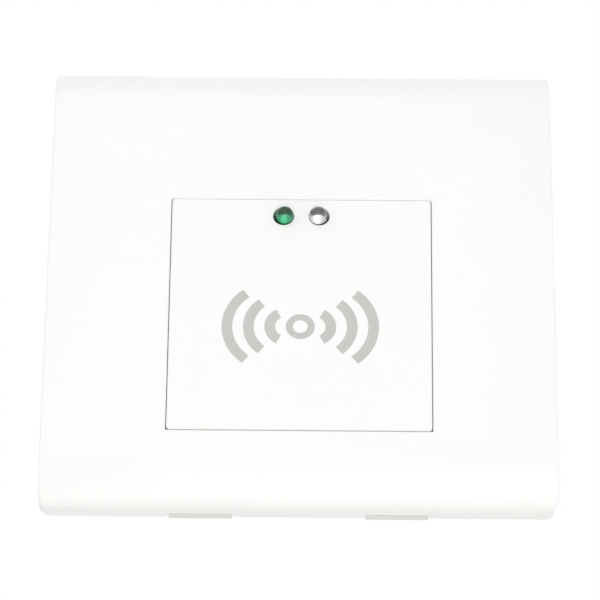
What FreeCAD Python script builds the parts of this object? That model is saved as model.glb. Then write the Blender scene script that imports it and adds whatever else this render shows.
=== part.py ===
"""Flush wall-plate card reader: clip-on cover, reader module and mounting frame.

Frame: +Z up the wall, +X right, the front faces -Y and the wall is the plane Y = 0.
Depths are given as "out": the distance in front of the wall, negative inside the wall box.
"""
import FreeCAD, Part
import math
import os
import re

import Sketcher

# Driving dimensions in millimetres. Every name holds an underscore.
SIZES = {
    # cover plate
    "plate_width": 86.0,
    "plate_height": 86.0,
    "face_out": 7.0,
    "rim_out": 0.3,
    "cover_wall": 2.0,
    "roll_height": 9.25,
    "roll_depth": 5.25,
    "roll_nose": 3.4,
    "plate_corner": 2.0,
    # reader panel
    "panel_width": 44.2,
    "panel_height": 45.0,
    "panel_drop": 7.4,
    "panel_gap": 0.12,
    "panel_wall": 2.0,
    "panel_side": 1.4,
    "panel_corner": 0.6,
    "panel_edge": 0.2,
    "flange_gap": 0.3,
    "flange_wall": 1.5,
    "flange_lip": 1.8,
    # module housing and the frame's opening for it
    "module_width": 47.4,
    "module_height": 58.4,
    "module_drop": 2.8,
    "module_gap": 0.3,
    "module_depth": 21.0,
    "housing_wall": 1.6,
    "step_height": 20.0,
    "step_depth": 8.1,
    "snap_width": 7.0,
    "snap_reach": 0.8,
    "snap_length": 2.4,
    "snap_spread": 26.0,
    # mounting frame
    "frame_width": 81.0,
    "frame_height": 81.0,
    "frame_wall": 2.0,
    "frame_corner": 3.0,
    "rib_width": 78.6,
    "rib_height": 72.0,
    "rib_wall": 1.2,
    "rib_out": 3.9,
    "lug_width": 10.5,
    "lug_spread": 32.5,
    "lug_wall": 1.2,
    "lug_gap": 0.15,
    "relief_margin": 1.6,
    "relief_depth": 0.2,
    # cover fingers and their sockets
    "finger_spread_x": 71.0,
    "finger_spread_z": 48.0,
    "finger_thick": 1.4,
    "finger_width": 6.0,
    "finger_tip_out": 0.6,
    "socket_gap": 0.15,
    "socket_wall": 1.3,
    # wall screws
    "wall_pitch": 60.3,
    "wall_slot": 8.0,
    "wall_slot_width": 4.3,
    "wall_screw": 3.9,
    "wall_neck": 3.4,
    "wall_neck_clear": 0.5,
    "wall_screw_length": 20.0,
    "wall_head": 7.2,
    "wall_head_height": 2.4,
    "slot_width": 0.9,
    "slot_depth": 1.1,
    # main board
    "board_depth": 3.5,
    "board_wall": 1.6,
    "board_gap": 0.5,
    # case screws and their posts
    "post_spread_x": 38.6,
    "post_spread_z": 48.0,
    "post_width": 5.0,
    "boss_width": 7.2,
    "case_screw": 2.5,
    "case_screw_length": 8.0,
    "case_gap": 0.25,
    "pilot_gap": 0.04,
    "pilot_extra": 0.5,
    "case_head": 4.4,
    "case_head_height": 1.7,
    "case_recess": 4.9,
    # antenna coil
    "coil_width": 36.0,
    "coil_height": 33.0,
    "coil_drop": 9.5,
    "coil_corner": 6.0,
    "bobbin_ring": 5.6,
    "bobbin_lip": 0.8,
    "winding_depth": 2.4,
    "winding_height": 2.6,
    "winding_gap": 0.1,
    "bobbin_gap": 0.2,
    "bobbin_foot": 2.4,
    "foot_gap": 0.275,
    "foot_spread_z": 27.2,
    "coil_pin": 0.6,
    "coil_pin_spread": 5.08,
    "lead_stub": 1.2,
    # indicator lamps
    "lamp_spread": 6.1,
    "lamp_side_gap": 0.05,
    "lamp_gap": 0.3,
    "lamp_width": 3.0,
    "lamp_length": 5.3,
    "lamp_proud": 1.9,
    "lamp_lean": 0.2,
    "lamp_flange": 3.8,
    "lamp_flange_wall": 1.0,
    "lamp_lead": 0.5,
    "lamp_lead_pitch": 2.54,
    "spacer_width": 10.4,
    "spacer_height": 3.6,
    "lead_clear": 0.1,
    # tamper switch
    "tamper_raise": 23.3,
    "tamper_width": 8.0,
    "tamper_height": 6.0,
    "tamper_gap": 0.5,
    "tamper_wall": 0.8,
    "tamper_bore": 4.4,
    "plunger_width": 2.4,
    "plunger_collar": 4.2,
    "plunger_collar_wall": 0.8,
    "plunger_travel": 1.2,
    "plunger_clear": 0.1,
    "plunger_hole": 3.4,
    "plunger_gap": 0.05,
    "spring_width": 3.2,
    "spring_wire": 0.35,
    "spring_turns": 4.0,
    # terminal block
    "terminal_pitch": 3.81,
    "terminal_end": 0.35,
    "terminal_deep": 8.0,
    "terminal_tall": 11.0,
    "terminal_left": 1.5,
    "terminal_rise": 10.0,
    "terminal_gap": 0.3,
    "entry_width": 2.7,
    "entry_tall": 3.0,
    "entry_deep": 6.6,
    "entry_raise": 5.4,
    "cage_wall": 0.3,
    "clamp_screw": 2.5,
    "clamp_screw_top": 0.6,
    "clamp_bore_gap": 0.05,
    "solder_pin": 1.0,
    # mode switch
    "mode_spacing": 1.87,
    "mode_rise": 13.5,
    "mode_width": 6.7,
    "mode_height": 6.2,
    "mode_tall": 3.4,
    "mode_pitch": 2.54,
    "mode_slot_width": 1.4,
    "mode_slot_height": 3.4,
    "mode_slot_deep": 1.2,
    "mode_gap": 0.3,
    "slider_width": 1.2,
    "slider_height": 1.5,
    "slider_tall": 1.8,
    "slider_clear": 0.1,
    # parts on the board
    "buzzer_left": 11.5,
    "buzzer_raise": 9.0,
    "buzzer_width": 12.0,
    "buzzer_tall": 8.5,
    "buzzer_hole": 2.2,
    "buzzer_hole_deep": 1.5,
    "buzzer_pin_pitch": 6.5,
    "capacitor_right": 15.6,
    "capacitor_raise": 5.0,
    "capacitor_width": 6.3,
    "capacitor_tall": 11.0,
    "capacitor_pitch": 7.6,
    "capacitor_lead_pitch": 2.5,
    "can_edge": 0.5,
    "crystal_right": 3.0,
    "crystal_raise": 15.0,
    "crystal_width": 11.0,
    "crystal_height": 4.6,
    "crystal_tall": 3.6,
    "crystal_lead_pitch": 4.88,
    "controller_right": 3.0,
    "controller_raise": 7.45,
    "controller_width": 7.0,
    "controller_pitch": 0.8,
    "reader_chip_left": 11.0,
    "reader_chip_drop": 2.6,
    "reader_chip_width": 8.7,
    "reader_chip_height": 3.9,
    "reader_chip_pitch": 1.27,
    "chip_tall": 1.45,
    "chip_stand": 0.1,
    "chip_lead_wide": 0.35,
    "chip_lead_long": 1.1,
    "chip_lead_thick": 0.2,
    "regulator_right": 6.0,
    "regulator_drop": 3.4,
    "regulator_width": 6.5,
    "regulator_height": 3.5,
    "regulator_tall": 1.7,
    "regulator_pitch": 2.3,
    "passive_length": 2.0,
    "passive_width": 1.25,
    "passive_tall": 0.6,
    "passive_pitch": 3.2,
    "passive_row": 4.0,
    "passive_raise": 0.5,
}

TERMINAL_WAYS = 6
MODE_WAYS = 2

# Depths and places that follow from the driving dimensions, as expressions of them.
COVER_INSIDE = "(face_out - cover_wall)"
FLANGE_FRONT = "(face_out - cover_wall - flange_gap)"
FLANGE_BACK = "(face_out - cover_wall - flange_gap - flange_wall)"
PANEL_INSIDE = "(face_out - panel_wall)"
RIM_END = "(face_out - roll_depth)"
BOARD_FRONT = "(-board_depth)"
BOARD_REAR = "(-board_depth - board_wall)"
MODULE_TOP = "(module_height / 2 - module_drop)"
STEP_LEVEL = "(step_height - module_height / 2 - module_drop)"
SCREW_SEAT = "(case_head_height - step_depth)"
LAMP_LEVEL = "(panel_height / 2 - panel_drop - panel_side - lamp_flange / 2 - lamp_side_gap)"
LAMP_REACH = "(lamp_spread / 2 - lamp_lean)"
CASE_HOLE = "(case_screw + 2 * case_gap)"
LAMP_HOLE = "(lamp_width + 2 * lamp_gap)"
TERMINAL_LEVEL = "(terminal_rise - module_height / 2 - module_drop)"
MODE_RIGHT = (f"({TERMINAL_WAYS} * terminal_pitch / 2 + terminal_end - terminal_left"
              " + mode_spacing + mode_width / 2)")
MODE_LEVEL = "(mode_rise - module_height / 2 - module_drop)"
TAMPER_LEVEL = "(tamper_raise - module_drop)"
TAMPER_TOP = "(face_out - cover_wall - flange_gap - flange_wall - tamper_gap)"
FOOT_SPREAD = (f"(({TERMINAL_WAYS} - 1) * terminal_pitch + 2 * terminal_left + solder_pin"
               " + 2 * foot_gap + bobbin_foot)")
COIL_LEVEL = "(-coil_drop)"
BOBBIN_FRONT = "(face_out - panel_wall - bobbin_gap)"
BOBBIN_REAR = "(face_out - panel_wall - bobbin_gap - 2 * bobbin_lip - winding_depth)"

CUT_MARGIN = 1.0
CLOSE = 0.001
LAMP_SIDES = {"green_led": -1, "clear_led": 1}
SIDES = (-1, 1)
NAMED_SIZE = re.compile(r"[a-z]+_[a-z_]+")
FRONT = FreeCAD.Vector(0, -1, 0)
TURN_TO_FRONT = FreeCAD.Rotation(FreeCAD.Vector(1, 0, 0), 90)

doc = FreeCAD.newDocument("card_reader")
parts = {}


def make_sheet():
    """Spreadsheet of the driving dimensions, one aliased cell each."""
    sheet = doc.addObject("Spreadsheet::Sheet", "Sizes")
    for row, (name, value) in enumerate(SIZES.items(), 1):
        sheet.set(f"A{row}", name)
        sheet.set(f"B{row}", str(value))
        sheet.setAlias(f"B{row}", name)
    doc.recompute()


def bind(item, prop, text):
    """Ties a property to an expression of named sizes."""
    item.setExpression(prop, NAMED_SIZE.sub(lambda name: "Sizes." + name.group(0), text))


def keep(item, label):
    """Records an object as a sub-part of the reader, under its own label."""
    item.Label = label
    parts[label] = item
    return item


# Sketches and features -------------------------------------------------------------------------

def start_body(name):
    return keep(doc.addObject("PartDesign::Body", name), name)


def start_sketch(body, role, offset):
    """Sketch on one of the body's origin planes, moved along the plane's normal."""
    sketch = body.newObject("Sketcher::SketchObject", body.Name + "_sketch")
    origin_plane = next(plane for plane in body.Origin.OriginFeatures if plane.Role == role)
    sketch.AttachmentSupport = [(origin_plane, "")]
    sketch.MapMode = "FlatFace"
    bind(sketch, "AttachmentOffset.Base.z", offset)
    return sketch


def front_sketch(body, out):
    """Sketch parallel to the wall, with X to the right, Z up and its normal out of the wall."""
    return start_sketch(body, "XZ_Plane", out)


def measure(sketch, kind, first, second, text):
    """Adds a distance between two (geometry, point) pairs and ties it to an expression.

    It is added at the value that it already has, so that nothing moves before it is tied.
    """
    gap = sketch.getPoint(*second) - sketch.getPoint(*first)
    value = gap.x if kind == "DistanceX" else gap.y
    index = sketch.addConstraint(Sketcher.Constraint(kind, *first, *second, value))
    bind(sketch, f"Constraints[{index}]", text)


ORIGIN_POINT = (-1, 1)


def add_rectangle(sketch, x, z, width, height):
    """Rectangle centred on x and z."""
    corners = [FreeCAD.Vector(*corner, 0) for corner in ((1, 1), (2, 1), (2, 2), (1, 2))]
    first = sketch.GeometryCount
    for index in range(4):
        sketch.addGeometry(Part.LineSegment(corners[index], corners[(index + 1) % 4]), False)
    for index in range(4):
        here, following = first + index, first + (index + 1) % 4
        sketch.addConstraint(Sketcher.Constraint("Coincident", here, 2, following, 1))
        direction = "Vertical" if index % 2 else "Horizontal"
        sketch.addConstraint(Sketcher.Constraint(direction, here))
    measure(sketch, "DistanceX", ORIGIN_POINT, (first, 1), f"({x}) - ({width}) / 2")
    measure(sketch, "DistanceY", ORIGIN_POINT, (first, 1), f"({z}) - ({height}) / 2")
    measure(sketch, "DistanceX", (first, 1), (first, 2), width)
    measure(sketch, "DistanceY", (first + 1, 1), (first + 1, 2), height)


def add_circle(sketch, x, z, width):
    """Circle of the given diameter."""
    circle = Part.Circle(FreeCAD.Vector(1, 1, 0), FreeCAD.Vector(0, 0, 1), 1)
    index = sketch.addGeometry(circle, False)
    measure(sketch, "DistanceX", ORIGIN_POINT, (index, 3), x)
    measure(sketch, "DistanceY", ORIGIN_POINT, (index, 3), z)
    diameter = sketch.addConstraint(Sketcher.Constraint("Diameter", index, 1.0))
    bind(sketch, f"Constraints[{diameter}]", width)


def pad(body, sketch, length, backwards=False):
    """Adds material from the sketch, out of the wall or backwards into it."""
    feature = body.newObject("PartDesign::Pad", body.Name + "_pad")
    feature.Profile = sketch
    feature.Reversed = backwards
    bind(feature, "Length", length)
    doc.recompute()
    return feature


def pocket(body, sketch, length, outwards=False, symmetric=False):
    """Cuts the sketch out of the body, into the wall or outwards, and checks that it cut."""
    before = body.Shape.Volume
    feature = body.newObject("PartDesign::Pocket", body.Name + "_pocket")
    feature.Profile = sketch
    feature.Reversed = outwards
    if symmetric:
        feature.SideType = "Symmetric"
    bind(feature, "Length", length)
    doc.recompute()
    if feature.Shape.Volume >= before:
        raise ValueError(f"{feature.Label} cuts nothing")
    return feature


def round_edges(body, radius, wanted):
    """Fillets the edges of the body's last feature that a test picks."""
    base = body.Tip
    names = [f"Edge{index}" for index, edge in enumerate(base.Shape.Edges, 1) if wanted(edge)]
    feature = body.newObject("PartDesign::Fillet", body.Name + "_fillet")
    feature.Base = (base, names)
    bind(feature, "Radius", radius)
    doc.recompute()
    return feature


def runs_out(edge):
    """True for a straight edge that stands out of the wall."""
    if not isinstance(edge.Curve, Part.Line):
        return False
    return abs(edge.Curve.Direction.dot(FRONT)) > 1 - CLOSE


def level_edge(out):
    """Test for edges that lie wholly at one depth."""
    def wanted(edge):
        box = edge.BoundBox
        return abs(box.YMin + out) < CLOSE and abs(box.YMax + out) < CLOSE
    return wanted


def padded_block(body, x, z, width, height, out, length, backwards=False):
    sketch = front_sketch(body, out)
    add_rectangle(sketch, x, z, width, height)
    return pad(body, sketch, length, backwards)


def cut_block(body, x, z, width, height, out, length, outwards=False):
    sketch = front_sketch(body, out)
    add_rectangle(sketch, x, z, width, height)
    return pocket(body, sketch, length, outwards)


def cut_holes(body, places, width, out, length, outwards=False):
    sketch = front_sketch(body, out)
    for x, z in places:
        add_circle(sketch, x, z, width)
    return pocket(body, sketch, length, outwards)


# Simple solids -----------------------------------------------------------------------------------

def block(name, x, z, width, height, out, length):
    """Box centred on x and z that runs out of the wall from a depth."""
    solid = doc.addObject("Part::Box", name)
    bind(solid, "Length", width)
    bind(solid, "Width", length)
    bind(solid, "Height", height)
    bind(solid, "Placement.Base.x", f"({x}) - ({width}) / 2")
    bind(solid, "Placement.Base.y", f"-({out}) - ({length})")
    bind(solid, "Placement.Base.z", f"({z}) - ({height}) / 2")
    return solid


def rod(name, x, z, width, out, length):
    """Cylinder of the given diameter that runs out of the wall from a depth."""
    solid = doc.addObject("Part::Cylinder", name)
    bind(solid, "Radius", f"({width}) / 2")
    bind(solid, "Height", length)
    solid.Placement = FreeCAD.Placement(FreeCAD.Vector(0, 0, 0), TURN_TO_FRONT)
    bind(solid, "Placement.Base.x", x)
    bind(solid, "Placement.Base.y", f"-({out})")
    bind(solid, "Placement.Base.z", z)
    return solid


def dome(name, x, z, width, out):
    """Ball of the given diameter with its centre at a depth."""
    solid = doc.addObject("Part::Sphere", name)
    bind(solid, "Radius", f"({width}) / 2")
    bind(solid, "Placement.Base.x", x)
    bind(solid, "Placement.Base.y", f"-({out})")
    bind(solid, "Placement.Base.z", z)
    return solid


def fuse(name, solids):
    joined = doc.addObject("Part::MultiFuse", name)
    joined.Shapes = solids
    joined.Refine = True
    doc.recompute()
    return joined


def cut(name, base, tool):
    result = doc.addObject("Part::Cut", name)
    result.Base = base
    result.Tool = tool
    doc.recompute()
    return result


def group(name, solids):
    """Several separate solids that share one node."""
    gathered = doc.addObject("Part::Compound", name)
    gathered.Links = solids
    doc.recompute()
    return keep(gathered, name)


# Positions that several sub-parts share ----------------------------------------------------------

def post_places():
    """Centres of the four case screws."""
    return [(f"{side} * post_spread_x / 2", f"{end} * post_spread_z / 2 - module_drop")
            for side in SIDES for end in SIDES]


def finger_places():
    """Centres of the cover's four fingers."""
    return [(f"{side} * finger_spread_x / 2", f"{end} * finger_spread_z / 2")
            for side in SIDES for end in SIDES]


def way_places():
    """Centre of each way of the terminal block, left to right."""
    middle = (TERMINAL_WAYS - 1) / 2
    return [f"({way - middle}) * terminal_pitch - terminal_left" for way in range(TERMINAL_WAYS)]


def slider_places():
    """Centre of each mode slider, left to right."""
    middle = (MODE_WAYS - 1) / 2
    return [f"{MODE_RIGHT} + ({way - middle}) * mode_pitch" for way in range(MODE_WAYS)]


# Cover plate -------------------------------------------------------------------------------------

def add_roll(sketch, side, inset):
    """Two tangent arcs that roll the face over to the rim, at the top (1) or bottom (-1).

    Returns the (geometry, point) pairs of the end at the rim and of the crease on the face.
    """
    wall = SIZES.get(inset, 0.0)
    half_height = SIZES["plate_height"] / 2
    height, depth = SIZES["roll_height"], SIZES["roll_depth"]
    nose = SIZES["roll_nose"]
    sweep = (height ** 2 + depth ** 2 - 2 * height * nose) / (2 * (depth - nose))
    nose_centre = FreeCAD.Vector(depth - SIZES["face_out"], side * (half_height - nose), 0)
    sweep_centre = FreeCAD.Vector(sweep - SIZES["face_out"], side * (half_height - height), 0)
    lean = math.atan2(abs(nose_centre.y - sweep_centre.y), sweep_centre.x - nose_centre.x)
    normal = FreeCAD.Vector(0, 0, 1)
    nose_circle = Part.Circle(nose_centre, normal, nose - wall)
    sweep_circle = Part.Circle(sweep_centre, normal, sweep - wall)
    meeting = math.pi - side * lean
    if side > 0:
        nose_arc = sketch.addGeometry(Part.ArcOfCircle(nose_circle, math.pi / 2, meeting), False)
        sweep_arc = sketch.addGeometry(Part.ArcOfCircle(sweep_circle, meeting, math.pi), False)
        rim, nose_end, sweep_end, crease = (nose_arc, 1), (nose_arc, 2), (sweep_arc, 1), (sweep_arc, 2)
    else:
        nose_arc = sketch.addGeometry(Part.ArcOfCircle(nose_circle, meeting, 3 * math.pi / 2), False)
        sweep_arc = sketch.addGeometry(Part.ArcOfCircle(sweep_circle, math.pi, meeting), False)
        rim, nose_end, sweep_end, crease = (nose_arc, 2), (nose_arc, 1), (sweep_arc, 2), (sweep_arc, 1)
    sketch.addConstraint(Sketcher.Constraint("Tangent", *nose_end, *sweep_end))
    sketch.addConstraint(Sketcher.Constraint("Vertical", *rim, nose_arc, 3))
    sketch.addConstraint(Sketcher.Constraint("Horizontal", *crease, sweep_arc, 3))
    measure(sketch, "DistanceX", ORIGIN_POINT, rim, f"-{RIM_END}")
    measure(sketch, "DistanceY", ORIGIN_POINT, rim, f"{side} * (plate_height / 2 - {inset})")
    measure(sketch, "DistanceX", ORIGIN_POINT, crease, f"{inset} - face_out")
    measure(sketch, "DistanceY", ORIGIN_POINT, crease, f"{side} * (plate_height / 2 - roll_height)")
    radius = sketch.addConstraint(Sketcher.Constraint("Radius", nose_arc, nose - wall))
    bind(sketch, f"Constraints[{radius}]", f"roll_nose - {inset}")
    return rim, crease


def add_path(sketch, start, corners, finish):
    """Straight lines from one fixed point to another, through corners.

    Each corner is its two expressions and its two values, which only place it before solving.
    """
    spots = [FreeCAD.Vector(across, up, 0) for _, _, across, up in corners]
    spots = [sketch.getPoint(*start)] + spots + [sketch.getPoint(*finish)]
    first = sketch.GeometryCount
    for here, following in zip(spots, spots[1:]):
        sketch.addGeometry(Part.LineSegment(here, following), False)
    sketch.addConstraint(Sketcher.Constraint("Coincident", *start, first, 1))
    for index, (across, up, _, _) in enumerate(corners, first):
        sketch.addConstraint(Sketcher.Constraint("Coincident", index, 2, index + 1, 1))
        measure(sketch, "DistanceX", ORIGIN_POINT, (index, 2), across)
        measure(sketch, "DistanceY", ORIGIN_POINT, (index, 2), up)
    last = first + len(corners)
    sketch.addConstraint(Sketcher.Constraint("Coincident", last, 2, *finish))


def cut_rolls(body):
    """Rolls the top and bottom of the plate over."""
    sketch = start_sketch(body, "YZ_Plane", "0")
    half = SIZES["plate_height"] / 2
    front = -SIZES["face_out"] - CUT_MARGIN
    rim_end = SIZES["roll_depth"] - SIZES["face_out"]
    for side in SIDES:
        rim, crease = add_roll(sketch, side, "0")
        beyond = f"{side} * (plate_height / 2 + {CUT_MARGIN})"
        beyond_value = side * (half + CUT_MARGIN)
        add_path(sketch, crease, [
            (f"-face_out - {CUT_MARGIN}", f"{side} * (plate_height / 2 - roll_height)",
             front, side * (half - SIZES["roll_height"])),
            (f"-face_out - {CUT_MARGIN}", beyond, front, beyond_value),
            (f"-{RIM_END}", beyond, rim_end, beyond_value),
        ], rim)
    pocket(body, sketch, f"plate_width + {CUT_MARGIN}", symmetric=True)


def hollow_cover(body):
    """Hollows the plate from behind, with a wall that follows the rolls."""
    sketch = start_sketch(body, "YZ_Plane", "0")
    top_rim, top_crease = add_roll(sketch, 1, "cover_wall")
    bottom_rim, bottom_crease = add_roll(sketch, -1, "cover_wall")
    open_end = f"{CUT_MARGIN} - rim_out"
    open_value = CUT_MARGIN - SIZES["rim_out"]
    half = "(plate_height / 2 - cover_wall)"
    half_value = SIZES["plate_height"] / 2 - SIZES["cover_wall"]
    add_path(sketch, top_rim, [(open_end, half, open_value, half_value),
                               (open_end, f"-{half}", open_value, -half_value)], bottom_rim)
    add_path(sketch, top_crease, [], bottom_crease)
    pocket(body, sketch, "plate_width - 2 * cover_wall", symmetric=True)


def make_cover_plate():
    body = start_body("cover_plate")
    padded_block(body, "0", "0", "plate_width", "plate_height", "rim_out", "face_out - rim_out")
    round_edges(body, "plate_corner", runs_out)
    cut_rolls(body)
    hollow_cover(body)
    window_width = "(panel_width + 2 * panel_gap)"
    window_height = "(panel_height + 2 * panel_gap)"
    cut_block(body, "0", "-panel_drop", window_width, window_height, "face_out", "cover_wall")
    for side in SIDES:
        cut_block(body, f"{side} * lug_spread / 2", "-plate_height / 2 + cover_wall / 2",
                  "lug_width + 2 * lug_gap", f"cover_wall + {CUT_MARGIN}",
                  "rim_out", "lug_wall + lug_gap - rim_out", outwards=True)
    fingers = front_sketch(body, "finger_tip_out")
    for x, z in finger_places():
        add_rectangle(fingers, x, z, "finger_thick", "finger_width")
    pad(body, fingers, f"{COVER_INSIDE} + cover_wall / 2 - finger_tip_out")


# Reader module -----------------------------------------------------------------------------------

def make_reader_panel():
    """Front shell of the module: raised face, flange behind the cover and four screw posts."""
    body = start_body("reader_panel")
    flange_width = "(module_width + 2 * flange_lip)"
    flange_height = "(module_height + 2 * flange_lip)"
    padded_block(body, "0", "-panel_drop", "panel_width", "panel_height", FLANGE_BACK,
                 f"face_out - {FLANGE_BACK}")
    round_edges(body, "panel_corner", runs_out)
    round_edges(body, "panel_edge", level_edge(SIZES["face_out"]))
    padded_block(body, "0", "-module_drop", flange_width, flange_height, FLANGE_BACK, "flange_wall")
    cut_block(body, "0", "-panel_drop", "panel_width - 2 * panel_side",
              "panel_height - 2 * panel_side", FLANGE_BACK, f"{PANEL_INSIDE} - {FLANGE_BACK}",
              outwards=True)
    for end, reach in ((1, FLANGE_FRONT), (-1, PANEL_INSIDE)):
        posts = front_sketch(body, BOARD_FRONT)
        for side in SIDES:
            add_circle(posts, f"{side} * post_spread_x / 2",
                       f"{end} * post_spread_z / 2 - module_drop", "post_width")
        pad(body, posts, f"{reach} - panel_wall / 4 - {BOARD_FRONT}")
    cut_holes(body, post_places(), "case_screw + 2 * pilot_gap", BOARD_FRONT,
              f"{SCREW_SEAT} + case_screw_length + pilot_extra - {BOARD_FRONT}", outwards=True)
    lamps = [(f"{side} * lamp_spread / 2", LAMP_LEVEL) for side in SIDES]
    cut_holes(body, lamps, LAMP_HOLE, "face_out", f"panel_wall + {CUT_MARGIN}")
    cut_holes(body, [("0", TAMPER_LEVEL)], "plunger_hole", FLANGE_FRONT, "flange_wall")


def make_module_housing():
    """Rear shell: flange on the frame, deep upper part, stepped lower part for the terminals."""
    body = start_body("module_housing")
    level = "-module_drop"
    padded_block(body, "0", level, "module_width + 2 * flange_lip",
                 "module_height + 2 * flange_lip", "frame_wall", f"{FLANGE_BACK} - frame_wall")
    padded_block(body, "0", level, "module_width", "module_height", "frame_wall",
                 "frame_wall + step_depth", backwards=True)
    deep_height = f"({MODULE_TOP} - {STEP_LEVEL})"
    deep_level = f"(({MODULE_TOP} + {STEP_LEVEL}) / 2)"
    padded_block(body, "0", deep_level, "module_width", deep_height, "-step_depth",
                 "module_depth - step_depth", backwards=True)
    inner_width = "(module_width - 2 * housing_wall)"
    cut_block(body, "0", level, inner_width, "module_height - 2 * housing_wall", FLANGE_BACK,
              f"{FLANGE_BACK} + step_depth - housing_wall")
    cut_block(body, "0", deep_level, inner_width, f"{deep_height} - 2 * housing_wall",
              "housing_wall - step_depth", "module_depth - step_depth")
    for end, rear in ((1, "module_depth"), (-1, "step_depth")):
        bosses = front_sketch(body, f"housing_wall / 2 - {rear}")
        for side in SIDES:
            add_circle(bosses, f"{side} * post_spread_x / 2",
                       f"{end} * post_spread_z / 2 - module_drop", "boss_width")
        pad(body, bosses, f"{BOARD_REAR} + {rear} - housing_wall / 2")
    cut_holes(body, post_places(), CASE_HOLE, BOARD_REAR, "module_depth")
    cut_holes(body, post_places(), "case_recess", SCREW_SEAT, "module_depth")
    terminal_width = f"({TERMINAL_WAYS} * terminal_pitch + 2 * terminal_end + 2 * terminal_gap)"
    cut_block(body, "-terminal_left", TERMINAL_LEVEL, terminal_width,
              "terminal_deep + 2 * terminal_gap", BOARD_REAR, "step_depth")
    cut_block(body, MODE_RIGHT, MODE_LEVEL, "mode_width + 2 * mode_gap",
              "mode_height + 2 * mode_gap", BOARD_REAR, "step_depth")
    for end in SIDES:
        snaps = front_sketch(body, "-snap_reach / 8")
        for side in SIDES:
            add_rectangle(snaps, f"{side} * snap_spread / 2",
                          f"{end} * module_height / 2 - module_drop", "snap_width", "2 * snap_reach")
        pad(body, snaps, "snap_length", backwards=True)


def make_main_board():
    body = start_body("main_board")
    inner_width = "module_width - 2 * housing_wall - 2 * board_gap"
    inner_height = "module_height - 2 * housing_wall - 2 * board_gap"
    padded_block(body, "0", "-module_drop", inner_width, inner_height, BOARD_REAR, "board_wall")
    cut_holes(body, post_places(), CASE_HOLE, BOARD_FRONT, "board_wall")
    for name, places, width in board_holes():
        cut_holes(body, places, f"{width} + 2 * lead_clear", BOARD_FRONT, "board_wall")


def make_case_screws():
    """Four pan-head screws that clamp housing, board and panel together."""
    screws = []
    for index, (x, z) in enumerate(post_places(), 1):
        shank = rod(f"case_shank_{index}", x, z, "case_screw", SCREW_SEAT, "case_screw_length")
        head = rod(f"case_head_{index}", x, z, "case_head", f"{SCREW_SEAT} - case_head_height",
                   "case_head_height")
        screw = fuse(f"case_screw_{index}", [shank, head])
        cross = cross_recess(f"case_cross_{index}", x, z, "case_head * 0.6",
                             f"{SCREW_SEAT} - case_head_height")
        screws.append(cut(f"case_screw_cut_{index}", screw, cross))
    group("case_screws", screws)


def cross_recess(name, x, z, span, rear):
    """Cross-shaped tool for a screw head's recess, cut outwards from the head's rear face."""
    flat = block(f"{name}_flat", x, z, span, "slot_width / 2", f"{rear} - slot_depth", "2 * slot_depth")
    upright = block(f"{name}_upright", x, z, "slot_width / 2", span, f"{rear} - slot_depth",
                    "2 * slot_depth")
    return fuse(name, [flat, upright])


# Mounting frame ----------------------------------------------------------------------------------

def make_mounting_frame():
    body = start_body("mounting_frame")
    padded_block(body, "0", "0", "frame_width", "frame_height", "0", "frame_wall")
    round_edges(body, "frame_corner", runs_out)
    lugs = front_sketch(body, "0")
    lug_height = "((plate_height - frame_height) / 2 + frame_corner)"
    for side in SIDES:
        add_rectangle(lugs, f"{side} * lug_spread / 2", f"-plate_height / 2 + {lug_height} / 2",
                      "lug_width", lug_height)
    pad(body, lugs, "lug_wall")
    padded_block(body, "0", "0", "rib_width", "rib_height", "frame_wall", "rib_out - frame_wall")
    cut_block(body, "0", "0", "rib_width - 2 * rib_wall", "rib_height - 2 * rib_wall", "rib_out",
              "rib_out - frame_wall")
    sockets = front_sketch(body, "frame_wall / 2")
    for x, z in finger_places():
        add_rectangle(sockets, x, z, "finger_thick + 2 * socket_gap + 2 * socket_wall",
                      "finger_width + 2 * socket_gap + 2 * socket_wall")
    pad(body, sockets, "rib_out - frame_wall / 2")
    slots = front_sketch(body, "rib_out")
    for x, z in finger_places():
        add_rectangle(slots, x, z, "finger_thick + 2 * socket_gap", "finger_width + 2 * socket_gap")
    pocket(body, slots, "rib_out")
    cut_block(body, "0", "-module_drop", "module_width + 2 * module_gap",
              "module_height + 2 * module_gap", "frame_wall", "frame_wall")
    cut_block(body, "0", "-module_drop", "module_width + 2 * relief_margin",
              "module_height + 2 * relief_margin", "relief_depth", "relief_depth")
    cut_wall_slots(body)


def cut_wall_slots(body):
    """Two level slots for the wall screws."""
    sketch = front_sketch(body, "frame_wall")
    for side in SIDES:
        add_wall_slot(sketch, side)
    pocket(body, sketch, "frame_wall")


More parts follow.
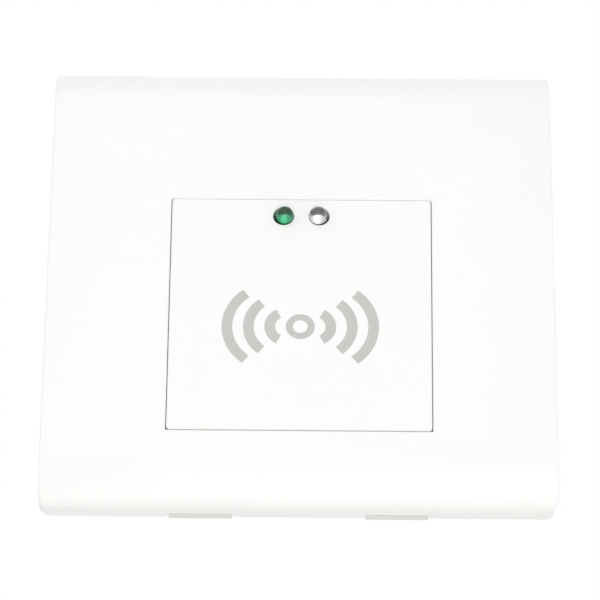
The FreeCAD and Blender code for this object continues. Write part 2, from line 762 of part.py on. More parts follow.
def add_wall_slot(sketch, side):
    """Round-ended slot along X, centred on one wall screw."""
    first = sketch.GeometryCount
    normal = FreeCAD.Vector(0, 0, 1)
    radius = SIZES["wall_slot_width"] / 2
    middle = side * SIZES["wall_pitch"] / 2
    left = middle - SIZES["wall_slot"] / 2 + radius
    right = middle + SIZES["wall_slot"] / 2 - radius
    quarter = math.pi / 2
    left_end = Part.Circle(FreeCAD.Vector(left, 0, 0), normal, radius)
    right_end = Part.Circle(FreeCAD.Vector(right, 0, 0), normal, radius)
    corners = [FreeCAD.Vector(x, z, 0) for x, z in
               ((left, -radius), (right, -radius), (right, radius), (left, radius))]
    sketch.addGeometry(Part.ArcOfCircle(left_end, quarter, 3 * quarter), False)
    sketch.addGeometry(Part.LineSegment(corners[0], corners[1]), False)
    sketch.addGeometry(Part.ArcOfCircle(right_end, -quarter, quarter), False)
    sketch.addGeometry(Part.LineSegment(corners[2], corners[3]), False)
    for index in range(4):
        following = first + (index + 1) % 4
        sketch.addConstraint(Sketcher.Constraint("Tangent", first + index, 2, following, 1))
    sketch.addConstraint(Sketcher.Constraint("Horizontal", first + 1))
    end = sketch.addConstraint(Sketcher.Constraint("Radius", first, radius))
    bind(sketch, f"Constraints[{end}]", "wall_slot_width / 2")
    measure(sketch, "DistanceX", ORIGIN_POINT, (first, 3),
            f"{side} * wall_pitch / 2 - (wall_slot - wall_slot_width) / 2")
    measure(sketch, "DistanceY", ORIGIN_POINT, (first, 3), "0")
    measure(sketch, "DistanceX", (first, 3), (first + 2, 3), "wall_slot - wall_slot_width")


def make_wall_screws():
    screws = []
    for index, side in enumerate(SIDES, 1):
        x = f"{side} * wall_pitch / 2"
        shank = rod(f"wall_shank_{index}", x, "0", "wall_screw", "frame_wall - wall_screw_length",
                    "wall_screw_length - frame_wall - wall_neck_clear")
        neck = rod(f"wall_neck_{index}", x, "0", "wall_neck", "-wall_neck_clear",
                   "frame_wall + wall_neck_clear")
        head = rod(f"wall_head_{index}", x, "0", "wall_head", "frame_wall", "wall_head_height")
        screw = fuse(f"wall_screw_{index}", [shank, neck, head])
        slot = block(f"wall_screw_slot_{index}", x, "0", f"wall_head + {CUT_MARGIN}", "slot_width",
                     "frame_wall + wall_head_height - slot_depth", f"slot_depth + {CUT_MARGIN}")
        screws.append(cut(f"wall_screw_cut_{index}", screw, slot))
    group("wall_screws", screws)


# Antenna -----------------------------------------------------------------------------------------

def make_coil_bobbin():
    """Flanged frame that carries the winding, on four feet."""
    body = start_body("coil_bobbin")
    inner_width = "(coil_width - 2 * winding_height)"
    inner_height = "(coil_height - 2 * winding_height)"
    padded_block(body, "0", COIL_LEVEL, inner_width, inner_height, BOBBIN_REAR,
                 f"{BOBBIN_FRONT} - {BOBBIN_REAR}")
    round_edges(body, "coil_corner - winding_height", runs_out)
    for out in (BOBBIN_REAR, f"({BOBBIN_FRONT} - bobbin_lip)"):
        padded_block(body, "0", COIL_LEVEL, "coil_width", "coil_height", out, "bobbin_lip")
        round_edges(body, "coil_corner", bobbin_corner)
    cut_block(body, "0", COIL_LEVEL, "coil_width - 2 * bobbin_ring", "coil_height - 2 * bobbin_ring",
              BOBBIN_FRONT, f"{BOBBIN_FRONT} - {BOBBIN_REAR}")
    feet = front_sketch(body, BOARD_FRONT)
    for side in SIDES:
        for end in SIDES:
            add_circle(feet, f"{side} * {FOOT_SPREAD} / 2",
                       f"{COIL_LEVEL} + {end} * foot_spread_z / 2", "bobbin_foot")
    pad(body, feet, f"{BOBBIN_REAR} + bobbin_lip / 2 - {BOARD_FRONT}")
    cut_holes(body, coil_pin_places(), "coil_pin + 2 * pilot_gap", BOBBIN_REAR, "bobbin_lip",
              outwards=True)


def bobbin_corner(edge):
    """True for the square outer corners of a bobbin flange."""
    return runs_out(edge) and abs(abs(edge.CenterOfMass.x) - SIZES["coil_width"] / 2) < CLOSE


def coil_pin_places():
    return [(f"{side} * coil_pin_spread / 2",
             f"{COIL_LEVEL} + coil_height / 2 - bobbin_ring + coil_pin + bobbin_lip") for side in SIDES]


def make_antenna_coil():
    """Copper winding between the bobbin's flanges."""
    body = start_body("antenna_coil")
    padded_block(body, "0", COIL_LEVEL, "coil_width - 2 * winding_gap", "coil_height - 2 * winding_gap",
                 f"{BOBBIN_REAR} + bobbin_lip", "winding_depth")
    round_edges(body, "coil_corner - winding_gap", runs_out)
    inner_width = "(coil_width - 2 * winding_height + 2 * winding_gap)"
    inner_height = "(coil_height - 2 * winding_height + 2 * winding_gap)"
    cut_block(body, "0", COIL_LEVEL, inner_width, inner_height, f"{BOBBIN_FRONT} - bobbin_lip",
              "winding_depth")
    half_width = SIZES["coil_width"] / 2 - SIZES["winding_height"] + SIZES["winding_gap"]
    round_edges(body, "coil_corner - winding_height",
                lambda edge: runs_out(edge) and abs(abs(edge.CenterOfMass.x) - half_width) < CLOSE)


def make_coil_pins():
    pins = [rod(f"coil_pin_{index}", x, z, "coil_pin", f"{BOARD_REAR} - lead_stub",
                f"{BOBBIN_REAR} + bobbin_lip - {BOARD_REAR} + lead_stub")
            for index, (x, z) in enumerate(coil_pin_places(), 1)]
    group("coil_pins", pins)


# Indicator lamps ---------------------------------------------------------------------------------

def lamp_lead_places():
    return [(f"{side} * {LAMP_REACH} + {pin} * lamp_lead_pitch / 2", LAMP_LEVEL)
            for side in SIDES for pin in SIDES]


def make_lamps():
    """Two round lamps whose domes stand out of their holes, leaning in a little."""
    base = "(face_out + lamp_proud - lamp_length)"
    for name, side in LAMP_SIDES.items():
        x = f"{side} * {LAMP_REACH}"
        flange = rod(f"{name}_flange", x, LAMP_LEVEL, "lamp_flange", base, "lamp_flange_wall")
        barrel = rod(f"{name}_barrel", x, LAMP_LEVEL, "lamp_width", base, "lamp_length - lamp_width / 2")
        tip = dome(f"{name}_dome", x, LAMP_LEVEL, "lamp_width", f"{base} + lamp_length - lamp_width / 2")
        keep(fuse(f"{name}_solid", [flange, barrel, tip]), name)
    leads = [rod(f"led_lead_{index}", x, z, "lamp_lead", f"{BOARD_REAR} - lead_stub",
                 f"{base} - {BOARD_REAR} + lead_stub")
             for index, (x, z) in enumerate(lamp_lead_places(), 1)]
    group("led_leads", leads)
    spacer = block("led_spacer_block", "0", LAMP_LEVEL, "spacer_width", "spacer_height",
                   BOARD_FRONT, f"{base} - {BOARD_FRONT}")
    bores = [rod(f"led_spacer_bore_{index}", x, z, "lamp_lead + 2 * lead_clear", BOARD_FRONT,
                 f"{base} - {BOARD_FRONT}")
             for index, (x, z) in enumerate(lamp_lead_places(), 1)]
    keep(cut("led_spacer_cut", spacer, fuse("led_spacer_bores", bores)), "led_spacer")


# Tamper switch -----------------------------------------------------------------------------------

def make_tamper_switch():
    """Switch whose plunger the cover holds in, and its case, spring and plunger."""
    body = start_body("tamper_switch")
    padded_block(body, "0", TAMPER_LEVEL, "tamper_width", "tamper_height", BOARD_FRONT,
                 f"{TAMPER_TOP} - {BOARD_FRONT}")
    centre = [("0", TAMPER_LEVEL)]
    cut_holes(body, centre, "tamper_bore", f"{TAMPER_TOP} - tamper_wall",
              f"{TAMPER_TOP} - {BOARD_FRONT} - 2 * tamper_wall")
    cut_holes(body, centre, "plunger_width + 2 * plunger_clear", TAMPER_TOP, "tamper_wall")

    collar_top = f"({TAMPER_TOP} - tamper_wall - plunger_travel - plunger_clear)"
    collar = rod("plunger_collar", "0", TAMPER_LEVEL, "plunger_collar",
                 f"{collar_top} - plunger_collar_wall", "plunger_collar_wall")
    stem = rod("plunger_stem", "0", TAMPER_LEVEL, "plunger_width", collar_top,
               f"{COVER_INSIDE} - plunger_gap - {collar_top}")
    keep(fuse("tamper_plunger_solid", [collar, stem]), "tamper_plunger")
    make_tamper_spring()


def make_tamper_spring():
    """Compression spring between the floor of the switch and the plunger's collar."""
    wire = SIZES["spring_wire"]
    turns = SIZES["spring_turns"]
    tamper_top = (SIZES["face_out"] - SIZES["cover_wall"] - SIZES["flange_gap"]
                  - SIZES["flange_wall"] - SIZES["tamper_gap"])
    floor_out = SIZES["tamper_wall"] - SIZES["board_depth"]
    seat_out = (tamper_top - SIZES["tamper_wall"] - SIZES["plunger_travel"]
                - SIZES["plunger_clear"] - SIZES["plunger_collar_wall"])
    rise = seat_out - floor_out - wire
    coil_radius = (SIZES["spring_width"] - wire) / 2
    path = Part.Wire(Part.makeHelix(rise / turns, rise, coil_radius).Edges)
    section = Part.Wire(Part.makeCircle(wire / 2, FreeCAD.Vector(coil_radius, 0, 0),
                                        FreeCAD.Vector(0, 1, 0)))
    level = SIZES["tamper_raise"] - SIZES["module_drop"]
    spring = doc.addObject("Part::Feature", "tamper_spring_solid")
    spring.Shape = path.makePipeShell([section], True, True)
    spring.Placement = FreeCAD.Placement(FreeCAD.Vector(0, -floor_out - wire / 2, level), TURN_TO_FRONT)
    keep(spring, "tamper_spring")


# Terminal block ----------------------------------------------------------------------------------

def make_terminal_block():
    """Screw terminals: wires go in from below, screws face the back."""
    body = start_body("terminal_block")
    width = f"({TERMINAL_WAYS} * terminal_pitch + 2 * terminal_end)"
    padded_block(body, "-terminal_left", TERMINAL_LEVEL, width, "terminal_deep", BOARD_REAR,
                 "terminal_tall", backwards=True)
    entries = start_sketch(body, "XY_Plane", f"{TERMINAL_LEVEL} - terminal_deep / 2")
    for x in way_places():
        add_rectangle(entries, x, f"entry_raise - {BOARD_REAR}", "entry_width", "entry_tall")
    pocket(body, entries, "entry_deep", outwards=True)
    tops = [(x, f"{TERMINAL_LEVEL}") for x in way_places()]
    cut_holes(body, tops, "clamp_screw + 2 * clamp_bore_gap", f"{BOARD_REAR} - entry_raise",
              "terminal_tall", outwards=False)

    cages, screws, pins = [], [], []
    entry_rear = f"({BOARD_REAR} - entry_raise - entry_tall / 2)"
    for index, x in enumerate(way_places(), 1):
        outer = block(f"cage_outer_{index}", x, TERMINAL_LEVEL, "entry_width - 2 * clamp_bore_gap",
                      "entry_deep / 2", f"{entry_rear} + clamp_bore_gap",
                      "entry_tall - 2 * clamp_bore_gap")
        inner = block(f"cage_inner_{index}", x, TERMINAL_LEVEL,
                      "entry_width - 2 * clamp_bore_gap - 2 * cage_wall", "entry_deep",
                      f"{entry_rear} + clamp_bore_gap - {CUT_MARGIN}",
                      f"entry_tall - 2 * clamp_bore_gap - cage_wall + {CUT_MARGIN}")
        cages.append(cut(f"cage_{index}", outer, inner))
        screw = rod(f"clamp_body_{index}", x, TERMINAL_LEVEL, "clamp_screw",
                    f"{BOARD_REAR} - terminal_tall + clamp_screw_top",
                    f"terminal_tall - clamp_screw_top - entry_raise - entry_tall / 2")
        slot = block(f"clamp_slot_{index}", x, TERMINAL_LEVEL, "clamp_screw + clamp_screw",
                     "slot_width / 2", f"{BOARD_REAR} - terminal_tall",
                     "clamp_screw_top + slot_depth / 2")
        screws.append(cut(f"clamp_screw_{index}", screw, slot))
        pins.append(rod(f"terminal_pin_{index}", x, TERMINAL_LEVEL, "solder_pin", BOARD_REAR,
                        "board_wall + lead_stub"))
    group("terminal_cages", cages)
    group("terminal_screws", screws)
    group("terminal_pins", pins)


# Mode switch -------------------------------------------------------------------------------------

def mode_pin_places():
    return [(x, f"{MODE_LEVEL} + {end} * (mode_height / 2 - solder_pin)")
            for x in slider_places() for end in SIDES]


def make_mode_switch():
    """Two-way slide switch reached through a window in the back of the housing."""
    body = start_body("mode_switch")
    padded_block(body, MODE_RIGHT, MODE_LEVEL, "mode_width", "mode_height", BOARD_REAR,
                 "mode_tall", backwards=True)
    slots = front_sketch(body, f"{BOARD_REAR} - mode_tall")
    for x in slider_places():
        add_rectangle(slots, x, MODE_LEVEL, "mode_slot_width", "mode_slot_height")
    pocket(body, slots, "mode_slot_deep", outwards=True)
    drop = "(mode_slot_height / 2 - slider_height / 2 - slider_clear)"
    for index, x in enumerate(slider_places(), 1):
        slider = block(f"slider_{index}", x, f"{MODE_LEVEL} - {drop}", "slider_width", "slider_height",
                       f"{BOARD_REAR} - mode_tall + mode_slot_deep - slider_tall", "slider_tall")
        keep(slider, f"mode_slider_{index}")
    pins = [rod(f"mode_pin_{index}", x, z, "lamp_lead", BOARD_REAR, "board_wall + lead_stub")
            for index, (x, z) in enumerate(mode_pin_places(), 1)]
    group("mode_switch_pins", pins)


# Parts on the back of the board ------------------------------------------------------------------

def buzzer_pin_places():
    return [(f"{side} * buzzer_pin_pitch / 2 - buzzer_left", "buzzer_raise") for side in SIDES]


def capacitor_places():
    return [("capacitor_right", f"capacitor_raise + {end} * capacitor_pitch / 2") for end in SIDES]


def capacitor_lead_places():
    return [(f"{x} + {side} * capacitor_lead_pitch / 2", z)
            for x, z in capacitor_places() for side in SIDES]


def crystal_lead_places():
    return [(f"crystal_right + {side} * crystal_lead_pitch / 2", "crystal_raise") for side in SIDES]


def board_holes():
    """Every group of lead holes in the board: name, centres and lead width."""
    terminal = [(x, TERMINAL_LEVEL) for x in way_places()]
    return [
        ("coil_pins", coil_pin_places(), "coil_pin"),
        ("led_leads", lamp_lead_places(), "lamp_lead"),
        ("terminal_pins", terminal, "solder_pin"),
        ("mode_switch_pins", mode_pin_places(), "lamp_lead"),
        ("buzzer_pins", buzzer_pin_places(), "coil_pin"),
        ("capacitor_leads", capacitor_lead_places(), "lamp_lead"),
        ("crystal_leads", crystal_lead_places(), "lamp_lead"),
    ]


def make_leads(name, places, width):
    """Leads from the back of the board to stubs in front of it."""
    leads = [rod(f"{name}_{index}", x, z, width, BOARD_REAR, "board_wall + lead_stub")
             for index, (x, z) in enumerate(places, 1)]
    group(name, leads)


def make_buzzer():
    case = rod("buzzer_case", "-buzzer_left", "buzzer_raise", "buzzer_width",
               f"{BOARD_REAR} - buzzer_tall", "buzzer_tall")
    mouth = rod("buzzer_mouth", "-buzzer_left", "buzzer_raise", "buzzer_hole",
                f"{BOARD_REAR} - buzzer_tall", "buzzer_hole_deep")
    keep(cut("buzzer_solid", case, mouth), "buzzer")
    make_leads("buzzer_pins", buzzer_pin_places(), "coil_pin")


def make_capacitors():
    cans = []
    for index, (x, z) in enumerate(capacitor_places(), 1):
        can = rod(f"capacitor_can_{index}", x, z, "capacitor_width", f"{BOARD_REAR} - capacitor_tall",
                  "capacitor_tall")
        doc.recompute()
        rounded = doc.addObject("Part::Fillet", f"capacitor_{index}")
        rounded.Base = can
        edge = SIZES["can_edge"]
        rounded.Edges = [(number, edge, edge) for number, rim in enumerate(can.Shape.Edges, 1)
                         if isinstance(rim.Curve, Part.Circle)]
        cans.append(rounded)
    group("filter_capacitors", cans)
    make_leads("capacitor_leads", capacitor_lead_places(), "lamp_lead")


def make_crystal():
    can = block("crystal_can", "crystal_right", "crystal_raise", "crystal_width", "crystal_height",
                f"{BOARD_REAR} - crystal_tall", "crystal_tall")
    doc.recompute()
    rounded = doc.addObject("Part::Fillet", "crystal_solid")
    rounded.Base = can
    radius = SIZES["crystal_height"] / 2 - SIZES["chip_stand"]
    rounded.Edges = [(number, radius, radius) for number, edge in enumerate(can.Shape.Edges, 1)
                     if runs_out(edge)]
    doc.recompute()
    keep(rounded, "crystal")
    make_leads("crystal_leads", crystal_lead_places(), "lamp_lead")


def chip_lead(name, x, z, width, height):
    """Flat lead that lies on the board under the chip's edge."""
    return block(name, x, z, width, height, f"{BOARD_REAR} - chip_lead_thick", "chip_lead_thick")


def make_chips():
    """Controller and reader chips, standing on their leads."""
    stand = f"{BOARD_REAR} - chip_lead_thick"
    body = f"{stand} - chip_tall"
    keep(block("controller_body", "controller_right", "controller_raise", "controller_width",
               "controller_width", body, "chip_tall"), "controller_chip")
    keep(block("reader_body", "-reader_chip_left", "-reader_chip_drop", "reader_chip_width",
               "reader_chip_height", body, "chip_tall"), "reader_chip")
    leads = []
    for row in range(8):
        along = f"({row - 3.5}) * controller_pitch"
        edge = "controller_width / 2"
        for side in SIDES:
            leads.append(chip_lead(f"controller_lead_x{row}_{side + 1}",
                                   f"controller_right + {side} * {edge}",
                                   f"controller_raise + {along}", "chip_lead_long", "chip_lead_wide"))
            leads.append(chip_lead(f"controller_lead_z{row}_{side + 1}", f"controller_right + {along}",
                                   f"controller_raise + {side} * {edge}", "chip_lead_wide",
                                   "chip_lead_long"))
    for row in range(7):
        along = f"({row - 3}) * reader_chip_pitch"
        for side in SIDES:
            leads.append(chip_lead(f"reader_lead_{row}_{side + 1}", f"-reader_chip_left + {along}",
                                   f"-reader_chip_drop + {side} * reader_chip_height / 2",
                                   "chip_lead_wide", "chip_lead_long"))
    group("chip_leads", leads)


def make_regulator():
    stand = f"{BOARD_REAR} - chip_lead_thick"
    keep(block("regulator_body", "regulator_right", "-regulator_drop", "regulator_width",
               "regulator_height", f"{stand} - regulator_tall", "regulator_tall"), "voltage_regulator")
    leads = [chip_lead("regulator_tab", "regulator_right", "-regulator_drop + regulator_height / 2",
                       "regulator_width / 2", "chip_lead_long")]
    for pin in (-1, 0, 1):
        leads.append(chip_lead(f"regulator_lead_{pin + 1}", f"regulator_right + {pin} * regulator_pitch",
                               "-regulator_drop - regulator_height / 2", "2 * chip_lead_wide",
                               "chip_lead_long"))
    group("regulator_leads", leads)


def make_passives():
    """Small resistors and capacitors in two rows."""
    chips = []
    for row in range(2):
        for column in range(5):
            chips.append(block(f"passive_{row}_{column}",
                               f"({column - 4}) * passive_pitch - reader_chip_pitch",
                               f"-reader_chip_drop - passive_row - {row} * passive_pitch + passive_raise",
                               "passive_length", "passive_width", f"{BOARD_REAR} - passive_tall",
                               "passive_tall"))
    group("chip_passives", chips)


# Build, check and export -------------------------------------------------------------------------

def check_model():
    """Stops with a message when an object failed or a sub-part has no sound shape."""
    doc.recompute()
    for item in doc.Objects:
        if "Invalid" in item.State or "Error" in item.State:
            raise ValueError(f"{item.Name} ({item.TypeId}) failed: {item.State}")
    for label, item in parts.items():
        if item.Shape.isNull() or not item.Shape.isValid() or not item.Shape.Solids:
            raise ValueError(f"{label} has no valid solid")


def main():
    make_sheet()
    make_cover_plate()
    make_reader_panel()
    make_module_housing()
    make_main_board()
    make_case_screws()
    make_mounting_frame()
    make_wall_screws()
    make_coil_bobbin()
    make_antenna_coil()
    make_coil_pins()
    make_lamps()
    make_tamper_switch()
    make_terminal_block()
    make_mode_switch()
    make_buzzer()
    make_capacitors()
    make_crystal()
    make_chips()
    make_regulator()
    make_passives()
    check_model()
    os.makedirs("parts", exist_ok=True)
    for label, item in parts.items():
        item.Shape.exportStep(f"parts/{label}.step")
        print(f"{label}: {len(item.Shape.Solids)} solids, {item.Shape.Volume:.1f} mm3")


main()
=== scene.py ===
"""Looks of the wall-plate card reader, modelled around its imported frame."""
import math

import bpy
from bpy.props import FloatProperty, FloatVectorProperty, PointerProperty
from bpy.types import Operator, Panel, PropertyGroup
from mathutils import Matrix, Vector


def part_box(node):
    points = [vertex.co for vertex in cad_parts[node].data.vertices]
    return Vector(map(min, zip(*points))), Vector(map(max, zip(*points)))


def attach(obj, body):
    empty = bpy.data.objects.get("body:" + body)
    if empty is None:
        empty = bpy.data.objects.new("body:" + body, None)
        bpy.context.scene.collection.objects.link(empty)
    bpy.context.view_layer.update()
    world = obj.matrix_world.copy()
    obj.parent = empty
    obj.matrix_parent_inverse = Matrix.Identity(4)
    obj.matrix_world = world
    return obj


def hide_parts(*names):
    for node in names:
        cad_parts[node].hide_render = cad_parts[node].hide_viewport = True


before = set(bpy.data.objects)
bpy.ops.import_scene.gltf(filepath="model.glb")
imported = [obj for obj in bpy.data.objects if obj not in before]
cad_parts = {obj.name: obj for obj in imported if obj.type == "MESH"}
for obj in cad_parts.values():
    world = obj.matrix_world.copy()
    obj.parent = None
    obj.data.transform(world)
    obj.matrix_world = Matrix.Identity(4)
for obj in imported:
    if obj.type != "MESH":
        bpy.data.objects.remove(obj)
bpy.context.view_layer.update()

bl_info = {
    "name": "Card Reader Finish",
    "version": (1, 0, 0),
    "blender": (4, 5, 0),
    "location": "3D View > Sidebar > Card Reader",
    "description": "Models the lamps, sign, screws, finishes and stage of a wall-plate card reader",
    "category": "Object",
}

MM = 0.001
COVER_LOW, COVER_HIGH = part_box("cover_plate")
FACE = COVER_LOW.y
RIM = COVER_HIGH.y


def face_middle(node, tolerance=0.05 * MM):
    """Height of the middle of a CAD node's foremost face."""
    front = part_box(node)[0].y
    heights = [vertex.co.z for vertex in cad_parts[node].data.vertices
               if abs(vertex.co.y - front) < tolerance]
    return 0.5 * (min(heights) + max(heights))


PANEL_MIDDLE = face_middle("reader_panel")


def length(name, description, default):
    """A size in metres, shown in the sidebar with its unit."""
    return FloatProperty(name=name, description=description, default=default, min=0.0,
                         precision=5, subtype="DISTANCE", unit="LENGTH")


def offset(name, description, default):
    """A signed distance in metres."""
    return FloatProperty(name=name, description=description, default=default,
                         precision=5, subtype="DISTANCE", unit="LENGTH")


def turn(name, description, default):
    """An angle in radians, shown in degrees."""
    return FloatProperty(name=name, description=description, default=default,
                         precision=4, subtype="ANGLE", unit="ROTATION")


def share(name, description, default):
    """A number from 0 to 1."""
    return FloatProperty(name=name, description=description, default=default,
                         min=0.0, max=1.0, subtype="FACTOR")


def power(name, description, default):
    """A lamp's power in watts."""
    return FloatProperty(name=name, description=description, default=default, min=0.0,
                         unit="POWER")


def colour(name, description, default):
    """A colour, written as scene-linear red, green and blue."""
    return FloatVectorProperty(name=name, description=description, default=default,
                               size=3, min=0.0, max=1.0, subtype="COLOR")


class ReaderSizes(PropertyGroup):
    """Sizes of the pieces that are modelled here"""

    cover_edge: length("Cover edge", "Rounding along the edges of the cover", 0.35 * MM)
    frame_edge: length("Frame edge", "Rounding along the edges of the frame", 0.25 * MM)
    housing_edge: length("Housing edge", "Rounding along the edges of the rear shell", 0.3 * MM)
    fitting_edge: length("Fitting edge", "Rounding on the terminal block and switch", 0.12 * MM)
    ink_depth: length("Ink depth", "Thickness of the printed sign", 0.02 * MM)
    sign_drop: length("Sign drop", "Distance of the sign's middle below the panel's", 2.7 * MM)
    ring_outer: length("Ring outer radius", "Outer radius of the sign's ring", 2.42 * MM)
    ring_inner: length("Ring inner radius", "Inner radius of the sign's ring", 1.24 * MM)
    arc_stroke: length("Arc stroke", "Width of the sign's arcs", 1.8 * MM)
    arc_reach: length("Arc reach", "Distance from the sign's middle to its widest arc", 13.25 * MM)
    arc_step: length("Arc step", "Distance from one arc to the next", 3.6 * MM)
    field_width: length("Field width", "Width of the bare field on the rear shell", 34.0 * MM)
    field_height: length("Field height", "Height of that field", 17.0 * MM)
    field_drop: length("Field drop", "Distance of its middle below the shell's top", 23.5 * MM)
    field_border: length("Field border", "Width of the border round the field", 0.6 * MM)
    field_rise: length("Field rise", "Height of that border above the shell", 0.15 * MM)
    screw_width: length("Screw width", "Outer diameter of the wall screws", 3.9 * MM)
    screw_head: length("Screw head", "Diameter of the wall screws' heads", 7.2 * MM)
    screw_edge: length("Screw edge", "Rounding of the wall screws' heads", 0.25 * MM)
    thread_start: length("Thread start", "Distance behind the wall where the thread starts",
                         1.4 * MM)
    thread_pitch: length("Thread pitch", "Pitch of the wall screws' thread", 0.9 * MM)
    thread_height: length("Thread height", "Height of the wall screws' thread", 0.36 * MM)
    lamp_radius: length("Lamp radius", "Radius of a lamp's dome and barrel", 1.5 * MM)
    lamp_flange: length("Lamp flange", "Thickness of a lamp's flange", 1.0 * MM)
    lamp_edge: length("Lamp edge", "Rounding of a lamp's flange", 0.12 * MM)
    cup_depth: length("Cup depth", "Distance from a lamp's tip to its cup", 2.5 * MM)
    cup_radius: length("Cup radius", "Outer radius of a lamp's cup", 0.75 * MM)
    post_width: length("Post width", "Thickness of a lamp's lead posts", 0.45 * MM)
    post_pitch: length("Post pitch", "Distance between a lamp's two posts", 1.0 * MM)


class ReaderColours(PropertyGroup):
    """Colours of the finishes"""

    cover_white: colour("Cover white", "Glossy white of the cover", (0.93, 0.93, 0.915))
    panel_white: colour("Panel white", "White of the reader panel", (0.93, 0.93, 0.915))
    frame_white: colour("Frame white", "Off-white of the mounting frame", (0.80, 0.80, 0.77))
    sign_grey: colour("Sign grey", "Ink of the printed sign", (0.56, 0.56, 0.545))
    housing_grey: colour("Housing grey", "Dark grey of the rear shell", (0.035, 0.036, 0.040))
    lamp_green: colour("Green epoxy", "Tint of the green lamp", (0.055, 0.43, 0.21))
    lamp_clear: colour("Clear epoxy", "Tint of the clear lamp", (0.93, 0.94, 0.94))
    mask_green: colour("Solder mask", "Green of the circuit board", (0.010, 0.130, 0.045))
    terminal_green: colour("Terminal green", "Green of the terminal block", (0.016, 0.190, 0.060))
    switch_red: colour("Switch red", "Red of the mode switch", (0.42, 0.018, 0.014))
    zinc: colour("Zinc plating", "Bright zinc on the screws", (0.60, 0.61, 0.62))
    brass: colour("Plated brass", "Terminal cages and screws", (0.66, 0.56, 0.34))
    tin: colour("Tin", "Solder and tinned leads", (0.66, 0.66, 0.65))
    copper: colour("Enamelled copper", "Wire of the coil", (0.50, 0.17, 0.065))
    sleeve_blue: colour("Sleeve", "Dark shrink sleeve of the capacitors", (0.012, 0.018, 0.070))
    ceramic: colour("Ceramic", "Body of the chip passives", (0.24, 0.15, 0.085))
    resin: colour("Moulded resin", "Black of chips, bobbin and buzzer", (0.018, 0.018, 0.019))
    ivory: colour("Ivory nylon", "Tamper plunger", (0.62, 0.57, 0.43))


class StageSettings(PropertyGroup):
    """Camera, lamps and floor"""

    lens: FloatProperty(name="Lens", description="Focal length on a 36 mm sensor",
                        default=257.36, min=10.0, unit="CAMERA")
    distance: length("Distance", "From the camera to the cover's rim", 732.2 * MM)
    tilt: turn("Tilt", "How far below the reader the camera looks up from", 0.5379)
    heading: turn("Heading", "Turn of the camera round the reader", 0.0043)
    roll: turn("Roll", "Turn of the camera round its own line of sight", 0.0105)
    aim_right: offset("Aim right", "Shift of the camera to the left of the reader", 0.1245 * MM)
    aim_up: offset("Aim up", "Shift of the camera below the reader", 0.7696 * MM)
    floor_drop: length("Floor drop", "Distance from the reader down to the floor", 0.62)
    surround: share("Surround", "Brightness of the white surroundings", 0.80)
    key_power: power("Key power", "Power of the large front lamp in watts", 1.1)
    fill_power: power("Fill power", "Power of the low front lamp in watts", 1.6)
    low_power: power("Low power", "Power of the lamp below in watts", 0.6)
    back_power: power("Back power", "Power of the lamp behind in watts", 2.0)


# ---------------------------------------------------------------- modelling helpers

def sizes():
    """The sizes that the sidebar shows."""
    return bpy.context.scene.reader_sizes


def colours():
    """The colours that the sidebar shows."""
    return bpy.context.scene.reader_colours


def start_fresh():
    """Leaves edit mode and selects nothing."""
    if bpy.context.object is not None and bpy.context.object.mode != "OBJECT":
        bpy.ops.object.mode_set(mode="OBJECT")
    bpy.ops.object.select_all(action="DESELECT")


def pick(piece):
    """Makes piece the only selected object."""
    start_fresh()
    piece.select_set(True)
    bpy.context.view_layer.objects.active = piece


def edit(piece, kind="VERT"):
    """Enters edit mode with nothing selected."""
    pick(piece)
    bpy.ops.object.mode_set(mode="EDIT")
    bpy.ops.mesh.select_mode(type=kind)
    bpy.ops.mesh.select_all(action="DESELECT")


def choose(piece, kind, test):
    """Selects the vertices, edges or faces of piece that pass test, in edit mode."""
    bpy.ops.object.mode_set(mode="OBJECT")
    for item in getattr(piece.data, kind):
        item.select = test(item)
    bpy.ops.object.mode_set(mode="EDIT")


def named(name):
    """Names the new primitive and returns it."""
    piece = bpy.context.object
    piece.name = name
    piece.data.name = name
    return piece


def settle(piece):
    """Puts the piece's place into its mesh."""
    pick(piece)
    bpy.ops.object.transform_apply(location=True, rotation=True, scale=True)


def apply_modifier(piece, kind, **settings):
    """Adds a modifier, sets it up and applies it."""
    pick(piece)
    modifier = piece.modifiers.new(kind.title(), kind)
    for key, value in settings.items():
        setattr(modifier, key, value)
    bpy.ops.object.modifier_apply(modifier=modifier.name)


def smooth(piece, degrees=35):
    """Shades the piece smooth, but for edges sharper than that angle."""
    pick(piece)
    bpy.ops.object.shade_smooth_by_angle(angle=math.radians(degrees))


def face_outwards(piece):
    """Turns every face of a closed mesh outwards."""
    edit(piece, "FACE")
    bpy.ops.mesh.select_all(action="SELECT")
    bpy.ops.mesh.normals_make_consistent(inside=False)
    bpy.ops.object.mode_set(mode="OBJECT")


def join(pieces, name):
    """Joins the pieces into one object of that name."""
    pick(pieces[0])
    for piece in pieces[1:]:
        piece.select_set(True)
    if len(pieces) > 1:
        bpy.ops.object.join()
    return named(name)


def finish(piece, body, slot, material, *replaced):
    """Rides the piece on its body, with its finish and the CAD nodes it stands for."""
    piece.data.materials.clear()
    piece.data.materials.append(material)
    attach(piece, body)
    if replaced:
        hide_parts(*replaced)
    return piece


def finish_node(node, material):
    """Gives a carried-over CAD node its finish."""
    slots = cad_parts[node].material_slots
    if not slots:
        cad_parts[node].data.materials.append(material)
        return
    for place in slots:
        place.link = "OBJECT"
        place.material = material


